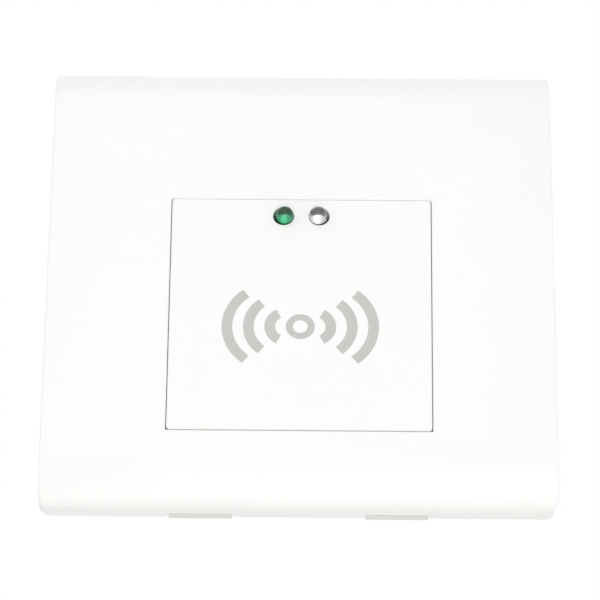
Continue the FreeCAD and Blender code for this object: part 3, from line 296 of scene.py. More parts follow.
def rounded_copy(node, name, edge, segments=3, crease=40):
    """A merged copy of a CAD node with its sharp edges rounded."""
    start_fresh()
    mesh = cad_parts[node].data.copy()
    piece = bpy.data.objects.new(name, mesh)
    mesh.name = name
    bpy.context.scene.collection.objects.link(piece)
    pick(piece)
    if mesh.has_custom_normals:
        bpy.ops.mesh.customdata_custom_splitnormals_clear()
    edit(piece)
    bpy.ops.mesh.select_all(action="SELECT")
    bpy.ops.mesh.remove_doubles(threshold=1e-6)
    bpy.ops.mesh.dissolve_limited(angle_limit=math.radians(0.5))
    bpy.ops.object.mode_set(mode="OBJECT")
    apply_modifier(piece, "BEVEL", width=edge, segments=segments, limit_method="ANGLE",
                   angle_limit=math.radians(crease), use_clamp_overlap=True,
                   miter_outer="MITER_SHARP")
    edit(piece)
    bpy.ops.mesh.select_all(action="SELECT")
    bpy.ops.mesh.quads_convert_to_tris()
    bpy.ops.object.mode_set(mode="OBJECT")
    smooth(piece)
    return piece


def turned(name, centre, rings, segments=48):
    """A piece turned round Y through centre: a disc pulled from ring to ring.

    Each ring is its radius and its distance along Y from centre.
    """
    start_fresh()
    radius, depth = rings[0]
    bpy.ops.mesh.primitive_circle_add(vertices=segments, radius=radius, fill_type="NGON",
                                      location=centre + Vector((0.0, depth, 0.0)),
                                      rotation=(math.radians(90), 0.0, 0.0))
    piece = named(name)
    settle(piece)
    edit(piece, "FACE")
    bpy.ops.mesh.select_all(action="SELECT")
    for next_radius, next_depth in rings[1:]:
        bpy.ops.mesh.extrude_region_move(
            TRANSFORM_OT_translate={"value": (0.0, next_depth - depth, 0.0)})
        grow = next_radius / radius
        bpy.ops.transform.resize(value=(grow, 1.0, grow),
                                 center_override=centre + Vector((0.0, next_depth, 0.0)))
        radius, depth = next_radius, next_depth
    face_outwards(piece)
    smooth(piece)
    return piece


def slab(name, low, high, edge):
    """A block between two corners, with rounded edges."""
    start_fresh()
    span = high - low
    bpy.ops.mesh.primitive_cube_add(size=1.0, location=0.5 * (low + high), scale=span)
    piece = named(name)
    settle(piece)
    edit(piece, "EDGE")
    bpy.ops.mesh.select_all(action="SELECT")
    bpy.ops.mesh.bevel(offset=edge, segments=2, affect="EDGES")
    bpy.ops.object.mode_set(mode="OBJECT")
    smooth(piece)
    return piece


def dome_rings(radius, middle, first=4.0, count=12):
    """Rings of a half ball whose tip points to -Y, from first degrees off the tip."""
    angles = [math.radians(first + (90.0 - first) * step / count) for step in range(count + 1)]
    return [(radius * math.sin(angle), middle - radius * math.cos(angle)) for angle in angles]


# ---------------------------------------------------------------- shader helpers

def shader_node(tree, kind, place, **settings):
    """A new node at that place in the tree, with its settings."""
    node = tree.nodes.new(kind)
    node.location = place
    for key, value in settings.items():
        setattr(node, key, value)
    return node


def set_inputs(node, **values):
    """Sets sockets by name; an underscore stands for a space."""
    for key, value in values.items():
        node.inputs[key.replace("_", " ")].default_value = value


def rgba(shade):
    """The shade with full alpha, as a colour socket takes it."""
    return (*shade, 1.0)


def new_group(name, inputs, outputs):
    """A shader node group with named inputs and outputs."""
    group = bpy.data.node_groups.new(name, "ShaderNodeTree")
    for label, kind, value in inputs:
        socket = group.interface.new_socket(name=label, in_out="INPUT", socket_type=kind)
        socket.default_value = value
    for label, kind in outputs:
        group.interface.new_socket(name=label, in_out="OUTPUT", socket_type=kind)
    entry = shader_node(group, "NodeGroupInput", (-900, 0))
    leave = shader_node(group, "NodeGroupOutput", (600, 0))
    return group, entry, leave


def feed(tree, socket, value):
    """Links the value to the socket, or sets the socket to it."""
    if isinstance(value, bpy.types.NodeSocket):
        tree.links.new(value, socket)
    else:
        socket.default_value = value


def math_node(tree, operation, place, *values, clamp=False):
    """A Math node whose inputs are sockets or numbers."""
    node = shader_node(tree, "ShaderNodeMath", place, operation=operation, use_clamp=clamp)
    for socket, value in zip(node.inputs, values):
        feed(tree, socket, value)
    return node.outputs[0]


def mix_node(tree, place, amount, first, second, blend="MIX"):
    """A colour mix whose inputs are sockets, numbers or colours."""
    node = shader_node(tree, "ShaderNodeMixRGB", place, blend_type=blend)
    for socket, value in zip(node.inputs, (amount, first, second)):
        feed(tree, socket, value)
    return node.outputs[0]


def noise_node(tree, place, vector, scale, detail=3.0, roughness=0.5):
    """A noise over the vector; the scale is a socket or a number."""
    node = shader_node(tree, "ShaderNodeTexNoise", place)
    set_inputs(node, Detail=detail, Roughness=roughness)
    feed(tree, node.inputs["Vector"], vector)
    feed(tree, node.inputs["Scale"], scale)
    return node.outputs["Fac"]


def spread_node(tree, place, value, low, high):
    """Maps a noise's middle range to low and high."""
    node = shader_node(tree, "ShaderNodeMapRange", place, clamp=True)
    set_inputs(node, From_Min=0.3, From_Max=0.7)
    feed(tree, node.inputs["To Min"], low)
    feed(tree, node.inputs["To Max"], high)
    feed(tree, node.inputs["Value"], value)
    return node.outputs["Result"]


def group_moulded():
    """Moulded plastic: slow colour drift, fine grain and uneven gloss."""
    group, entry, leave = new_group(
        "Moulded Plastic",
        [("Color", "NodeSocketColor", (0.8, 0.8, 0.8, 1.0)),
         ("Drift", "NodeSocketFloat", 0.03),
         ("Drift Size", "NodeSocketFloat", 35.0),
         ("Grain Size", "NodeSocketFloat", 2600.0),
         ("Roughness", "NodeSocketFloat", 0.3),
         ("Gloss Spread", "NodeSocketFloat", 0.06)],
        [("Color", "NodeSocketColor"), ("Roughness", "NodeSocketFloat"),
         ("Height", "NodeSocketFloat")])
    place = shader_node(group, "ShaderNodeTexCoord", (-900, 300)).outputs["Object"]
    slow = noise_node(group, (-650, 300), place, entry.outputs["Drift Size"], 2.0)
    fine = noise_node(group, (-650, 0), place, entry.outputs["Grain Size"], 2.0, 0.6)
    dark = math_node(group, "SUBTRACT", (-400, 420), 1.0, entry.outputs["Drift"])
    shade = spread_node(group, (-200, 400), slow, dark, 1.0)
    tone = mix_node(group, (200, 300), 1.0, entry.outputs["Color"], shade, "MULTIPLY")
    low = math_node(group, "SUBTRACT", (-400, 100), entry.outputs["Roughness"],
                    entry.outputs["Gloss Spread"])
    high = math_node(group, "ADD", (-400, -60), entry.outputs["Roughness"],
                     entry.outputs["Gloss Spread"])
    gloss = spread_node(group, (-200, 60), slow, low, high)
    grain_gloss = 0.05
    rough = math_node(group, "MULTIPLY_ADD", (200, 40), fine, grain_gloss, gloss)
    group.links.new(tone, leave.inputs["Color"])
    group.links.new(rough, leave.inputs["Roughness"])
    group.links.new(fine, leave.inputs["Height"])
    return group


def group_dust():
    """A thin film of dust that settles on faces that look up."""
    group, entry, leave = new_group(
        "Settled Dust",
        [("Color", "NodeSocketColor", (0.8, 0.8, 0.8, 1.0)),
         ("Dust", "NodeSocketColor", (0.55, 0.54, 0.52, 1.0)),
         ("Amount", "NodeSocketFloat", 0.1)],
        [("Color", "NodeSocketColor"), ("Mask", "NodeSocketFloat")])
    place = shader_node(group, "ShaderNodeTexCoord", (-900, 300)).outputs["Object"]
    normal = shader_node(group, "ShaderNodeNewGeometry", (-900, -200)).outputs["Normal"]
    split = shader_node(group, "ShaderNodeSeparateXYZ", (-700, -200))
    group.links.new(normal, split.inputs[0])
    upward = math_node(group, "MULTIPLY_ADD", (-500, -200), split.outputs["Z"], 0.5, 0.5)
    cloud = noise_node(group, (-650, 300), place, 420.0, 6.0, 0.65)
    patch = spread_node(group, (-400, 300), cloud, 0.0, 1.0)
    film = math_node(group, "MULTIPLY", (-200, 100), upward, patch)
    mask = math_node(group, "MULTIPLY", (0, 100), film, entry.outputs["Amount"], clamp=True)
    tone = mix_node(group, (250, 200), mask, entry.outputs["Color"], entry.outputs["Dust"])
    group.links.new(tone, leave.inputs["Color"])
    group.links.new(mask, leave.inputs["Mask"])
    return group


def group_metal():
    """Drawn or plated metal: stretched streaks, spots and uneven roughness."""
    group, entry, leave = new_group(
        "Drawn Metal",
        [("Color", "NodeSocketColor", (0.6, 0.6, 0.6, 1.0)),
         ("Tarnish", "NodeSocketColor", (0.3, 0.3, 0.3, 1.0)),
         ("Tarnish Amount", "NodeSocketFloat", 0.3),
         ("Stretch", "NodeSocketVector", (1.0, 1.0, 1.0)),
         ("Streak Size", "NodeSocketFloat", 900.0),
         ("Roughness", "NodeSocketFloat", 0.3)],
        [("Color", "NodeSocketColor"), ("Roughness", "NodeSocketFloat"),
         ("Height", "NodeSocketFloat")])
    place = shader_node(group, "ShaderNodeTexCoord", (-900, 300)).outputs["Object"]
    scaled = shader_node(group, "ShaderNodeVectorMath", (-750, 100), operation="MULTIPLY")
    group.links.new(place, scaled.inputs[0])
    group.links.new(entry.outputs["Stretch"], scaled.inputs[1])
    streak = noise_node(group, (-600, 100), scaled.outputs[0], entry.outputs["Streak Size"], 3.0)
    spots = noise_node(group, (-600, 350), place, 260.0, 5.0, 0.7)
    stain = spread_node(group, (-380, 350), spots, 0.0, entry.outputs["Tarnish Amount"])
    tone = mix_node(group, (100, 300), stain, entry.outputs["Color"], entry.outputs["Tarnish"])
    streak_gloss, stain_gloss = 0.18, 0.25
    rough = math_node(group, "MULTIPLY_ADD", (-200, 0), streak, streak_gloss,
                      entry.outputs["Roughness"])
    dull = math_node(group, "MULTIPLY_ADD", (100, 0), stain, stain_gloss, rough)
    group.links.new(tone, leave.inputs["Color"])
    group.links.new(dull, leave.inputs["Roughness"])
    group.links.new(streak, leave.inputs["Height"])
    return group


def place_group(tree, group, place, **values):
    """Places a node group in a material, with its own values."""
    node = shader_node(tree, "ShaderNodeGroup", place)
    node.node_tree = bpy.data.node_groups[group]
    set_inputs(node, **values)
    return node


def new_material(name, **shader):
    """A material with its Principled shader; shader values are constants on its sockets."""
    material = bpy.data.materials.new(name)
    material.use_nodes = True
    tree = material.node_tree
    tree.nodes.clear()
    leave = shader_node(tree, "ShaderNodeOutputMaterial", (600, 0))
    bsdf = shader_node(tree, "ShaderNodeBsdfPrincipled", (300, 0))
    set_inputs(bsdf, **shader)
    tree.links.new(bsdf.outputs[0], leave.inputs["Surface"])
    return material, tree, bsdf


def add_bump(tree, bsdf, height, depth, strength=1.0):
    """Bumps the shader's normal by height, depth metres deep."""
    bump = shader_node(tree, "ShaderNodeBump", (50, -300))
    set_inputs(bump, Strength=strength, Distance=depth)
    tree.links.new(height, bump.inputs["Height"])
    tree.links.new(bump.outputs[0], bsdf.inputs["Normal"])


def moulded(name, shade, roughness, drift=0.03, drift_size=35.0, grain=2600.0, depth=0.004 * MM,
            dust=0.0, dust_shade=(0.55, 0.54, 0.52), **shader):
    """A moulded plastic with its own colour, gloss, grain and dust."""
    material, tree, bsdf = new_material(name, **shader)
    body = place_group(tree, "Moulded Plastic", (-450, 0), Color=rgba(shade), Drift=drift,
                       Drift_Size=drift_size, Grain_Size=grain, Roughness=roughness)
    tone = body.outputs["Color"]
    if dust:
        film = place_group(tree, "Settled Dust", (-150, 150), Dust=rgba(dust_shade), Amount=dust)
        tree.links.new(tone, film.inputs["Color"])
        tone = film.outputs["Color"]
    tree.links.new(tone, bsdf.inputs["Base Color"])
    tree.links.new(body.outputs["Roughness"], bsdf.inputs["Roughness"])
    add_bump(tree, bsdf, body.outputs["Height"], depth)
    return material


def metal(name, shade, tarnish, roughness, amount=0.3, stretch=(1.0, 1.0, 1.0), streak=900.0,
          depth=0.003 * MM):
    """A drawn or plated metal."""
    material, tree, bsdf = new_material(name, Metallic=1.0)
    body = place_group(tree, "Drawn Metal", (-450, 0), Color=rgba(shade), Tarnish=rgba(tarnish),
                       Tarnish_Amount=amount, Stretch=stretch, Streak_Size=streak,
                       Roughness=roughness)
    tree.links.new(body.outputs["Color"], bsdf.inputs["Base Color"])
    tree.links.new(body.outputs["Roughness"], bsdf.inputs["Roughness"])
    add_bump(tree, bsdf, body.outputs["Height"], depth)
    return material


def epoxy(name, shade, roughness, clarity):
    """Clear or tinted lamp epoxy with a faint flow pattern."""
    material, tree, bsdf = new_material(name, Transmission_Weight=clarity, IOR=1.52)
    place = shader_node(tree, "ShaderNodeTexCoord", (-900, 0)).outputs["Object"]
    flow = noise_node(tree, (-650, 0), place, 500.0, 2.0)
    lighter = 1.12
    pale = tuple(min(1.0, lighter * part) for part in shade)
    tone = mix_node(tree, (-200, 150), flow, rgba(shade), rgba(pale))
    rough = spread_node(tree, (-200, -100), flow, roughness, roughness + 0.04)
    tree.links.new(tone, bsdf.inputs["Base Color"])
    tree.links.new(rough, bsdf.inputs["Roughness"])
    return material


# ---------------------------------------------------------------- finishes

def finish_white_plastics():
    """Whites of the front, the frame and the small sliding parts."""
    tint = colours()
    moulded("Cover plastic", tint.cover_white, 0.24, drift=0.008, depth=0.0006 * MM,
            dust=0.006, Coat_Weight=0.15, Coat_Roughness=0.12)
    moulded("Panel plastic", tint.panel_white, 0.30, drift=0.008, depth=0.0008 * MM, dust=0.008)
    moulded("Frame plastic", tint.frame_white, 0.45, drift=0.03, depth=0.006 * MM,
            grain=1800.0, dust=0.10)
    moulded("Slider plastic", tint.frame_white, 0.38, drift=0.03, depth=0.003 * MM)
    moulded("Plunger nylon", tint.ivory, 0.42, drift=0.06, depth=0.004 * MM)


def finish_dark_plastics():
    """The rear shell, the coil's bobbin, chips and sleeves."""
    tint = colours()
    moulded("Housing plastic", tint.housing_grey, 0.46, drift=0.18, drift_size=60.0,
            depth=0.02 * MM, grain=1500.0, dust=0.08)
    moulded("Bobbin nylon", tint.resin, 0.5, drift=0.15, depth=0.01 * MM)
    moulded("Black plastic", tint.resin, 0.38, drift=0.12, depth=0.006 * MM)
    moulded("Chip resin", tint.resin, 0.6, drift=0.2, depth=0.012 * MM, grain=4200.0)
    moulded("Capacitor sleeve", tint.sleeve_blue, 0.25, drift=0.12, depth=0.004 * MM,
            Coat_Weight=0.3)


def finish_coloured_plastics():
    """Terminals, mode switch, ceramic chips and the sign's ink."""
    tint = colours()
    moulded("Terminal nylon", tint.terminal_green, 0.40, drift=0.10, drift_size=120.0,
            depth=0.008 * MM, grain=2000.0, dust=0.06)
    moulded("Switch plastic", tint.switch_red, 0.36, drift=0.08, depth=0.005 * MM, dust=0.04)
    moulded("Ceramic chips", tint.ceramic, 0.5, drift=0.2, drift_size=400.0, depth=0.004 * MM)
    moulded("Sign ink", tint.sign_grey, 0.42, drift=0.04, drift_size=200.0, grain=5200.0,
            depth=0.003 * MM)


def finish_metals():
    """Screws, springs, leads, cans and the coil's wire."""
    tint = colours()
    metal("Zinc steel", tint.zinc, (0.36, 0.35, 0.33), 0.26, 0.35)
    metal("Spring steel", tint.zinc, (0.25, 0.24, 0.23), 0.22, 0.25)
    metal("Plated brass", tint.brass, (0.35, 0.26, 0.13), 0.25, 0.35)
    metal("Lamp silver", (0.86, 0.86, 0.84), (0.60, 0.60, 0.58), 0.2, 0.2)
    metal("Tinned leads", tint.tin, (0.40, 0.40, 0.40), 0.28, 0.3)
    metal("Drawn can", tint.tin, (0.42, 0.42, 0.41), 0.22, 0.2, stretch=(1.0, 0.06, 1.0))
    metal("Enamelled copper", tint.copper, (0.20, 0.06, 0.03), 0.24, 0.3,
          stretch=(0.1, 14.0, 0.1), streak=420.0, depth=0.06 * MM)


def finish_epoxies():
    """The two lamps' bodies."""
    tint = colours()
    epoxy("Green epoxy", tint.lamp_green, 0.04, 0.92)
    epoxy("Clear epoxy", tint.lamp_clear, 0.03, 1.0)


def finish_board():
    """Solder mask over woven board, with raised tracks under it."""
    tint = colours()
    material, tree, bsdf = new_material("Solder mask", Coat_Weight=0.4, Coat_Roughness=0.1)
    place = shader_node(tree, "ShaderNodeTexCoord", (-1100, 0)).outputs["Object"]
    flat = shader_node(tree, "ShaderNodeMapping", (-900, 0))
    set_inputs(flat, Rotation=(math.radians(90), 0.0, 0.0))
    tree.links.new(place, flat.inputs["Vector"])
    tracks = shader_node(tree, "ShaderNodeTexBrick", (-650, 200), offset=0.37, squash=0.6)
    set_inputs(tracks, Scale=150.0, Mortar_Size=0.05, Mortar_Smooth=0.2)
    tree.links.new(flat.outputs[0], tracks.inputs["Vector"])
    body = place_group(tree, "Moulded Plastic", (-650, -150), Color=rgba(tint.mask_green),
                       Drift=0.12, Drift_Size=90.0, Grain_Size=3000.0, Roughness=0.3)
    over_copper = 1.9
    bright = tuple(over_copper * part for part in tint.mask_green)
    tone = mix_node(tree, (-100, 150), tracks.outputs["Fac"], body.outputs["Color"], rgba(bright))
    tree.links.new(tone, bsdf.inputs["Base Color"])
    tree.links.new(body.outputs["Roughness"], bsdf.inputs["Roughness"])
    add_bump(tree, bsdf, tracks.outputs["Fac"], 0.03 * MM)


# finish of each CAD node that shows as it is
NODE_FINISH = {
    "Panel plastic": ["reader_panel"],
    "Solder mask": ["main_board"],
    "Zinc steel": ["case_screws"],
    "Bobbin nylon": ["coil_bobbin"],
    "Enamelled copper": ["antenna_coil"],
    "Tinned leads": ["coil_pins", "led_leads", "terminal_pins", "mode_switch_pins",
                     "buzzer_pins", "capacitor_leads", "crystal_leads", "chip_leads",
                     "regulator_leads"],
    "Slider plastic": ["led_spacer", "mode_slider_1", "mode_slider_2"],
    "Black plastic": ["tamper_switch", "buzzer"],
    "Plunger nylon": ["tamper_plunger"],
    "Spring steel": ["tamper_spring"],
    "Plated brass": ["terminal_cages", "terminal_screws"],
    "Capacitor sleeve": ["filter_capacitors"],
    "Drawn can": ["crystal"],
    "Chip resin": ["controller_chip", "reader_chip", "voltage_regulator"],
    "Ceramic chips": ["chip_passives"],
}


class READER_OT_finishes(Operator):
    """Builds every finish and gives the carried-over parts theirs"""

    bl_idname = "reader.finishes"
    bl_label = "Finishes"

    def execute(self, context):
        group_moulded()
        group_dust()
        group_metal()
        finish_white_plastics()
        finish_dark_plastics()
        finish_coloured_plastics()
        finish_metals()
        finish_epoxies()
        finish_board()
        for finish_name, nodes in NODE_FINISH.items():
            for node in nodes:
                finish_node(node, bpy.data.materials[finish_name])
        return {"FINISHED"}


# ---------------------------------------------------------------- pieces

class READER_OT_cover(Operator):
    """Rounds the edges of the clip-on cover"""

    bl_idname = "reader.cover"
    bl_label = "Cover"

    def execute(self, context):
        shell = rounded_copy("cover_plate", "cover_shell", sizes().cover_edge, crease=75)
        finish(shell, "cover", "cover_plastic", bpy.data.materials["Cover plastic"], "cover_plate")
        return {"FINISHED"}


class READER_OT_frame(Operator):
    """Rounds the edges of the mounting frame"""

    bl_idname = "reader.frame"
    bl_label = "Mounting Frame"

    def execute(self, context):
        plate = rounded_copy("mounting_frame", "yoke_plate", sizes().frame_edge, 2)
        finish(plate, "root", "frame_plastic", bpy.data.materials["Frame plastic"],
               "mounting_frame")
        return {"FINISHED"}


class READER_OT_housing(Operator):
    """Rounds the edges of the module's rear shell"""

    bl_idname = "reader.housing"
    bl_label = "Rear Shell"

    def execute(self, context):
        shell = rounded_copy("module_housing", "rear_shell", sizes().housing_edge, 2)
        finish(shell, "root", "housing_plastic", bpy.data.materials["Housing plastic"],
               "module_housing")
        border = self.label_border()
        finish(border, "root", "housing_plastic", bpy.data.materials["Housing plastic"])
        return {"FINISHED"}

    @staticmethod
    def label_border():
        """A low moulded border round the bare field on the shell's back."""
        size = sizes()
        start_fresh()
        low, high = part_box("module_housing")
        bpy.ops.mesh.primitive_plane_add(
            size=1.0, location=(0.0, high.y, high.z - size.field_drop),
            rotation=(math.radians(-90), 0.0, 0.0))
        border = named("rear_field_border")
        border.scale = (size.field_width, size.field_height, 1.0)
        settle(border)
        edit(border, "VERT")
        bpy.ops.mesh.select_all(action="SELECT")
        corner = 3.0 * size.field_border
        bpy.ops.mesh.bevel(offset=corner, segments=6, affect="VERTICES")
        bpy.ops.mesh.select_mode(type="FACE")
        bpy.ops.mesh.select_all(action="SELECT")
        bpy.ops.mesh.inset(thickness=size.field_border)
        bpy.ops.mesh.delete(type="FACE")
        bpy.ops.object.mode_set(mode="OBJECT")
        apply_modifier(border, "SOLIDIFY", thickness=2.0 * size.field_rise, offset=0.0)
        face_outwards(border)
        apply_modifier(border, "BEVEL", width=0.4 * size.field_rise, segments=2,
                       limit_method="ANGLE", angle_limit=math.radians(40))
        smooth(border)
        return border


class READER_OT_fittings(Operator):
    """Rounds the edges of the terminal block and the mode switch"""

    bl_idname = "reader.fittings"
    bl_label = "Terminal Block and Switch"

    def execute(self, context):
        block = rounded_copy("terminal_block", "wire_terminal", sizes().fitting_edge, 2)
        finish(block, "root", "terminal_plastic", bpy.data.materials["Terminal nylon"],
               "terminal_block")
        switch = rounded_copy("mode_switch", "mode_selector", sizes().fitting_edge, 2)
        finish(switch, "root", "switch_plastic", bpy.data.materials["Switch plastic"],
               "mode_switch")
        return {"FINISHED"}


# a cup's rings: radius and depth behind its mouth, as shares of the cup's radius
CUP_RINGS = ((0.30, 0.55), (0.86, 0.0), (1.0, 0.0), (1.0, 0.95), (0.55, 1.25))
CUP_FOOT = 1.1
LAMP_FINISH = {"green_led": ("green_lamp", "Green epoxy", "green_lens"),
               "clear_led": ("clear_lamp", "Clear epoxy", "clear_lens")}


def lamp_lens(node, name):
    """The epoxy body of a lamp: dome, barrel and flange."""
    low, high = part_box(node)
    centre = Vector((0.5 * (low.x + high.x), low.y, 0.5 * (low.z + high.z)))
    size = sizes()
    flange_radius = 0.5 * (high.x - low.x)
    radius = size.lamp_radius
    back = high.y - low.y
    rim = back - size.lamp_flange
    edge = size.lamp_edge
    rings = dome_rings(radius, radius)
    rings += [(radius, rim - edge), (radius + edge, rim), (flange_radius - edge, rim),
              (flange_radius, rim + edge), (flange_radius, back - edge),
              (flange_radius - edge, back)]
    return turned(name, centre, rings)


def lamp_insides(node):
    """The cup on one lead post, and the second post beside it."""
    low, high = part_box(node)
    x, z = 0.5 * (low.x + high.x), 0.5 * (low.z + high.z)
    size = sizes()
    mouth = low.y + size.cup_depth
    centre = Vector((x, mouth, z))
    cup = turned("cup", centre, [(radius * size.cup_radius, depth * size.cup_radius)
                                 for radius, depth in CUP_RINGS], 32)
    half = 0.5 * size.post_width
    end = high.y - 0.1 * MM
    posts = []
    for name, across, start in (
            ("long_post", x, mouth + CUP_FOOT * size.cup_radius),
            ("short_post", x + size.post_pitch, mouth + 0.2 * MM)):
        posts.append(slab(name, Vector((across - half, start, z - half)),
                          Vector((across + half, end, z + half)), 0.05 * MM))
    return [cup, *posts]


class READER_OT_lamps(Operator):
    """Models both lamps: epoxy lens, cup and posts"""

    bl_idname = "reader.lamps"
    bl_label = "Lamps"

    def execute(self, context):
        metal_parts = []
        for node, (name, finish_name, slot) in LAMP_FINISH.items():
            lens = lamp_lens(node, name)
            finish(lens, "root", slot, bpy.data.materials[finish_name], node)
            metal_parts += lamp_insides(node)
        posts = join(metal_parts, "lamp_posts")
        finish(posts, "root", "tinned_metal", bpy.data.materials["Lamp silver"])
        return {"FINISHED"}


def sign_band(name, middle, inner, outer, start, sweep, steps):
    """A flat band of ink: one radial edge swung round middle, then given its thickness."""
    across = 0.5 * (inner + outer)
    direction = Vector((math.cos(start), 0.0, math.sin(start)))
    bpy.ops.mesh.primitive_plane_add(size=outer - inner, location=(across, 0.0, 0.0))
    piece = named(name)
    settle(piece)
    edit(piece)
    choose(piece, "vertices", lambda vertex: vertex.co.y < 0.0)
    bpy.ops.mesh.delete(type="VERT")
    bpy.ops.mesh.select_all(action="SELECT")
    bpy.ops.object.mode_set(mode="OBJECT")
    for vertex in piece.data.vertices:
        vertex.co = middle + direction * vertex.co.x
    edit(piece)
    bpy.ops.mesh.select_all(action="SELECT")
    bpy.ops.mesh.spin(steps=steps, angle=sweep, center=middle, axis=(0.0, 1.0, 0.0))
    bpy.ops.mesh.select_all(action="SELECT")
    bpy.ops.mesh.remove_doubles(threshold=1e-7)
    bpy.ops.object.mode_set(mode="OBJECT")
    apply_modifier(piece, "SOLIDIFY", thickness=sizes().ink_depth, offset=0.0)
    face_outwards(piece)
    return piece


class READER_OT_screws(Operator):
    """Cuts the thread of the wall screws and rounds their heads"""

    bl_idname = "reader.screws"
    bl_label = "Wall Screws"

    # how deep the thread's foot is sunk, as a share of its height
    sink = 0.2
    # half of the foot's width, as a share of the pitch
    foot_share = 0.40
    # radius of the blunt tip, as a share of the core's
    tip_share = 0.6

    def execute(self, context):
        size = sizes()
        low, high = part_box("wall_screws")
        heads = rounded_copy("wall_screws", "screw_heads", size.screw_edge, 2)
        edit(heads)
        bpy.ops.mesh.select_all(action="SELECT")
        bpy.ops.mesh.bisect(plane_co=(0.0, 0.0, 0.0), plane_no=(0.0, 1.0, 0.0),
                            use_fill=True, clear_outer=True)
        bpy.ops.object.mode_set(mode="OBJECT")
        parts = [heads]
        reach = high.x - 0.5 * size.screw_head
        turns = int((high.y - size.thread_start) / size.thread_pitch) - 1
        for x in (-reach, reach):
            parts.append(self.core(x, high.y))
            parts.append(self.thread(x, turns))
        screws = join(parts, "wall_screw_pair")
        smooth(screws, 30)
        finish(screws, "root", "zinc_steel", bpy.data.materials["Zinc steel"], "wall_screws")
        return {"FINISHED"}

    def core(self, x, tip):
        """The shank under the thread, with a blunt tip."""
        size = sizes()
        core = 0.5 * size.screw_width - size.thread_height
        neck = size.thread_start
        blunt = self.tip_share * core
        return turned("core", Vector((x, 0.0, 0.0)), [
            (core, -0.2 * neck), (core, neck), (core, tip - blunt), (blunt, tip)], 32)

    def thread(self, x, turns):
        """A helical ridge whose foot is sunk a little into the core, closed at both ends."""
        size = sizes()
        start_fresh()
        bpy.ops.mesh.primitive_circle_add(vertices=3, radius=size.thread_height,
                                          fill_type="NOTHING",
                                          location=(x, size.thread_start, 0.0))
        ridge = named("thread")
        crest = 0.5 * size.screw_width
        foot = crest - (1.0 + self.sink) * size.thread_height
        half = self.foot_share * size.thread_pitch
        corners = ((foot, -half), (crest, 0.0), (foot, half))
        for vertex, (out, along) in zip(ridge.data.vertices, corners):
            vertex.co = (out, along, 0.0)
        apply_modifier(ridge, "SCREW", axis="Y", angle=2.0 * math.pi, steps=24,
                       render_steps=24, iterations=turns, screw_offset=size.thread_pitch,
                       use_merge_vertices=False)
        edit(ridge)
        bpy.ops.mesh.select_all(action="SELECT")
        bpy.ops.mesh.fill_holes(sides=3)
        face_outwards(ridge)
        settle(ridge)
        return ridge


class READER_OT_sign(Operator):
    """Prints the ring and the six arcs of the sign on the panel"""

    bl_idname = "reader.sign"
    bl_label = "Printed Sign"

    # outer radius and half height of the wide, the middle and the small arc
    arc_radius = (8.96 * MM, 6.69 * MM, 3.71 * MM)
    arc_half_height = (7.13 * MM, 5.27 * MM, 3.29 * MM)
    # how far the middle of the ink lies in front of the face, as a share of its thickness
    ink_lift = 0.3

    def execute(self, context):
        start_fresh()
        size = sizes()
        centre = Vector((0.0, FACE - self.ink_lift * size.ink_depth,
                         PANEL_MIDDLE - size.sign_drop))
        bands = [sign_band("ring", centre, size.ring_inner, size.ring_outer, 0.0,
                           2.0 * math.pi, 64)]
        for place, (radius, half) in enumerate(zip(self.arc_radius, self.arc_half_height)):
            reach = size.arc_reach - place * size.arc_step
            swing = math.asin(half / radius)
            for side in (1, -1):
                middle = centre + Vector((side * (reach - radius), 0.0, 0.0))
                start = -swing if side > 0 else math.pi - swing
                bands.append(sign_band(f"arc_{place}_{side}", middle,
                                       radius - size.arc_stroke, radius, start,
                                       2.0 * swing, 24))
        sign = join(bands, "radio_wave_sign")
        finish(sign, "root", "panel_plastic", bpy.data.materials["Sign ink"])
        return {"FINISHED"}


# ---------------------------------------------------------------- stage

def seen_directly(tree):
    """1 for rays from the camera, a mirror or through glass, and 0 for all others."""
    path = shader_node(tree, "ShaderNodeLightPath", (-700, 200))
    seen = math_node(tree, "MAXIMUM", (-450, 200), path.outputs["Is Camera Ray"],
                     path.outputs["Is Glossy Ray"])
    seen = math_node(tree, "MAXIMUM", (-250, 200), seen, path.outputs["Is Transmission Ray"])
    return seen


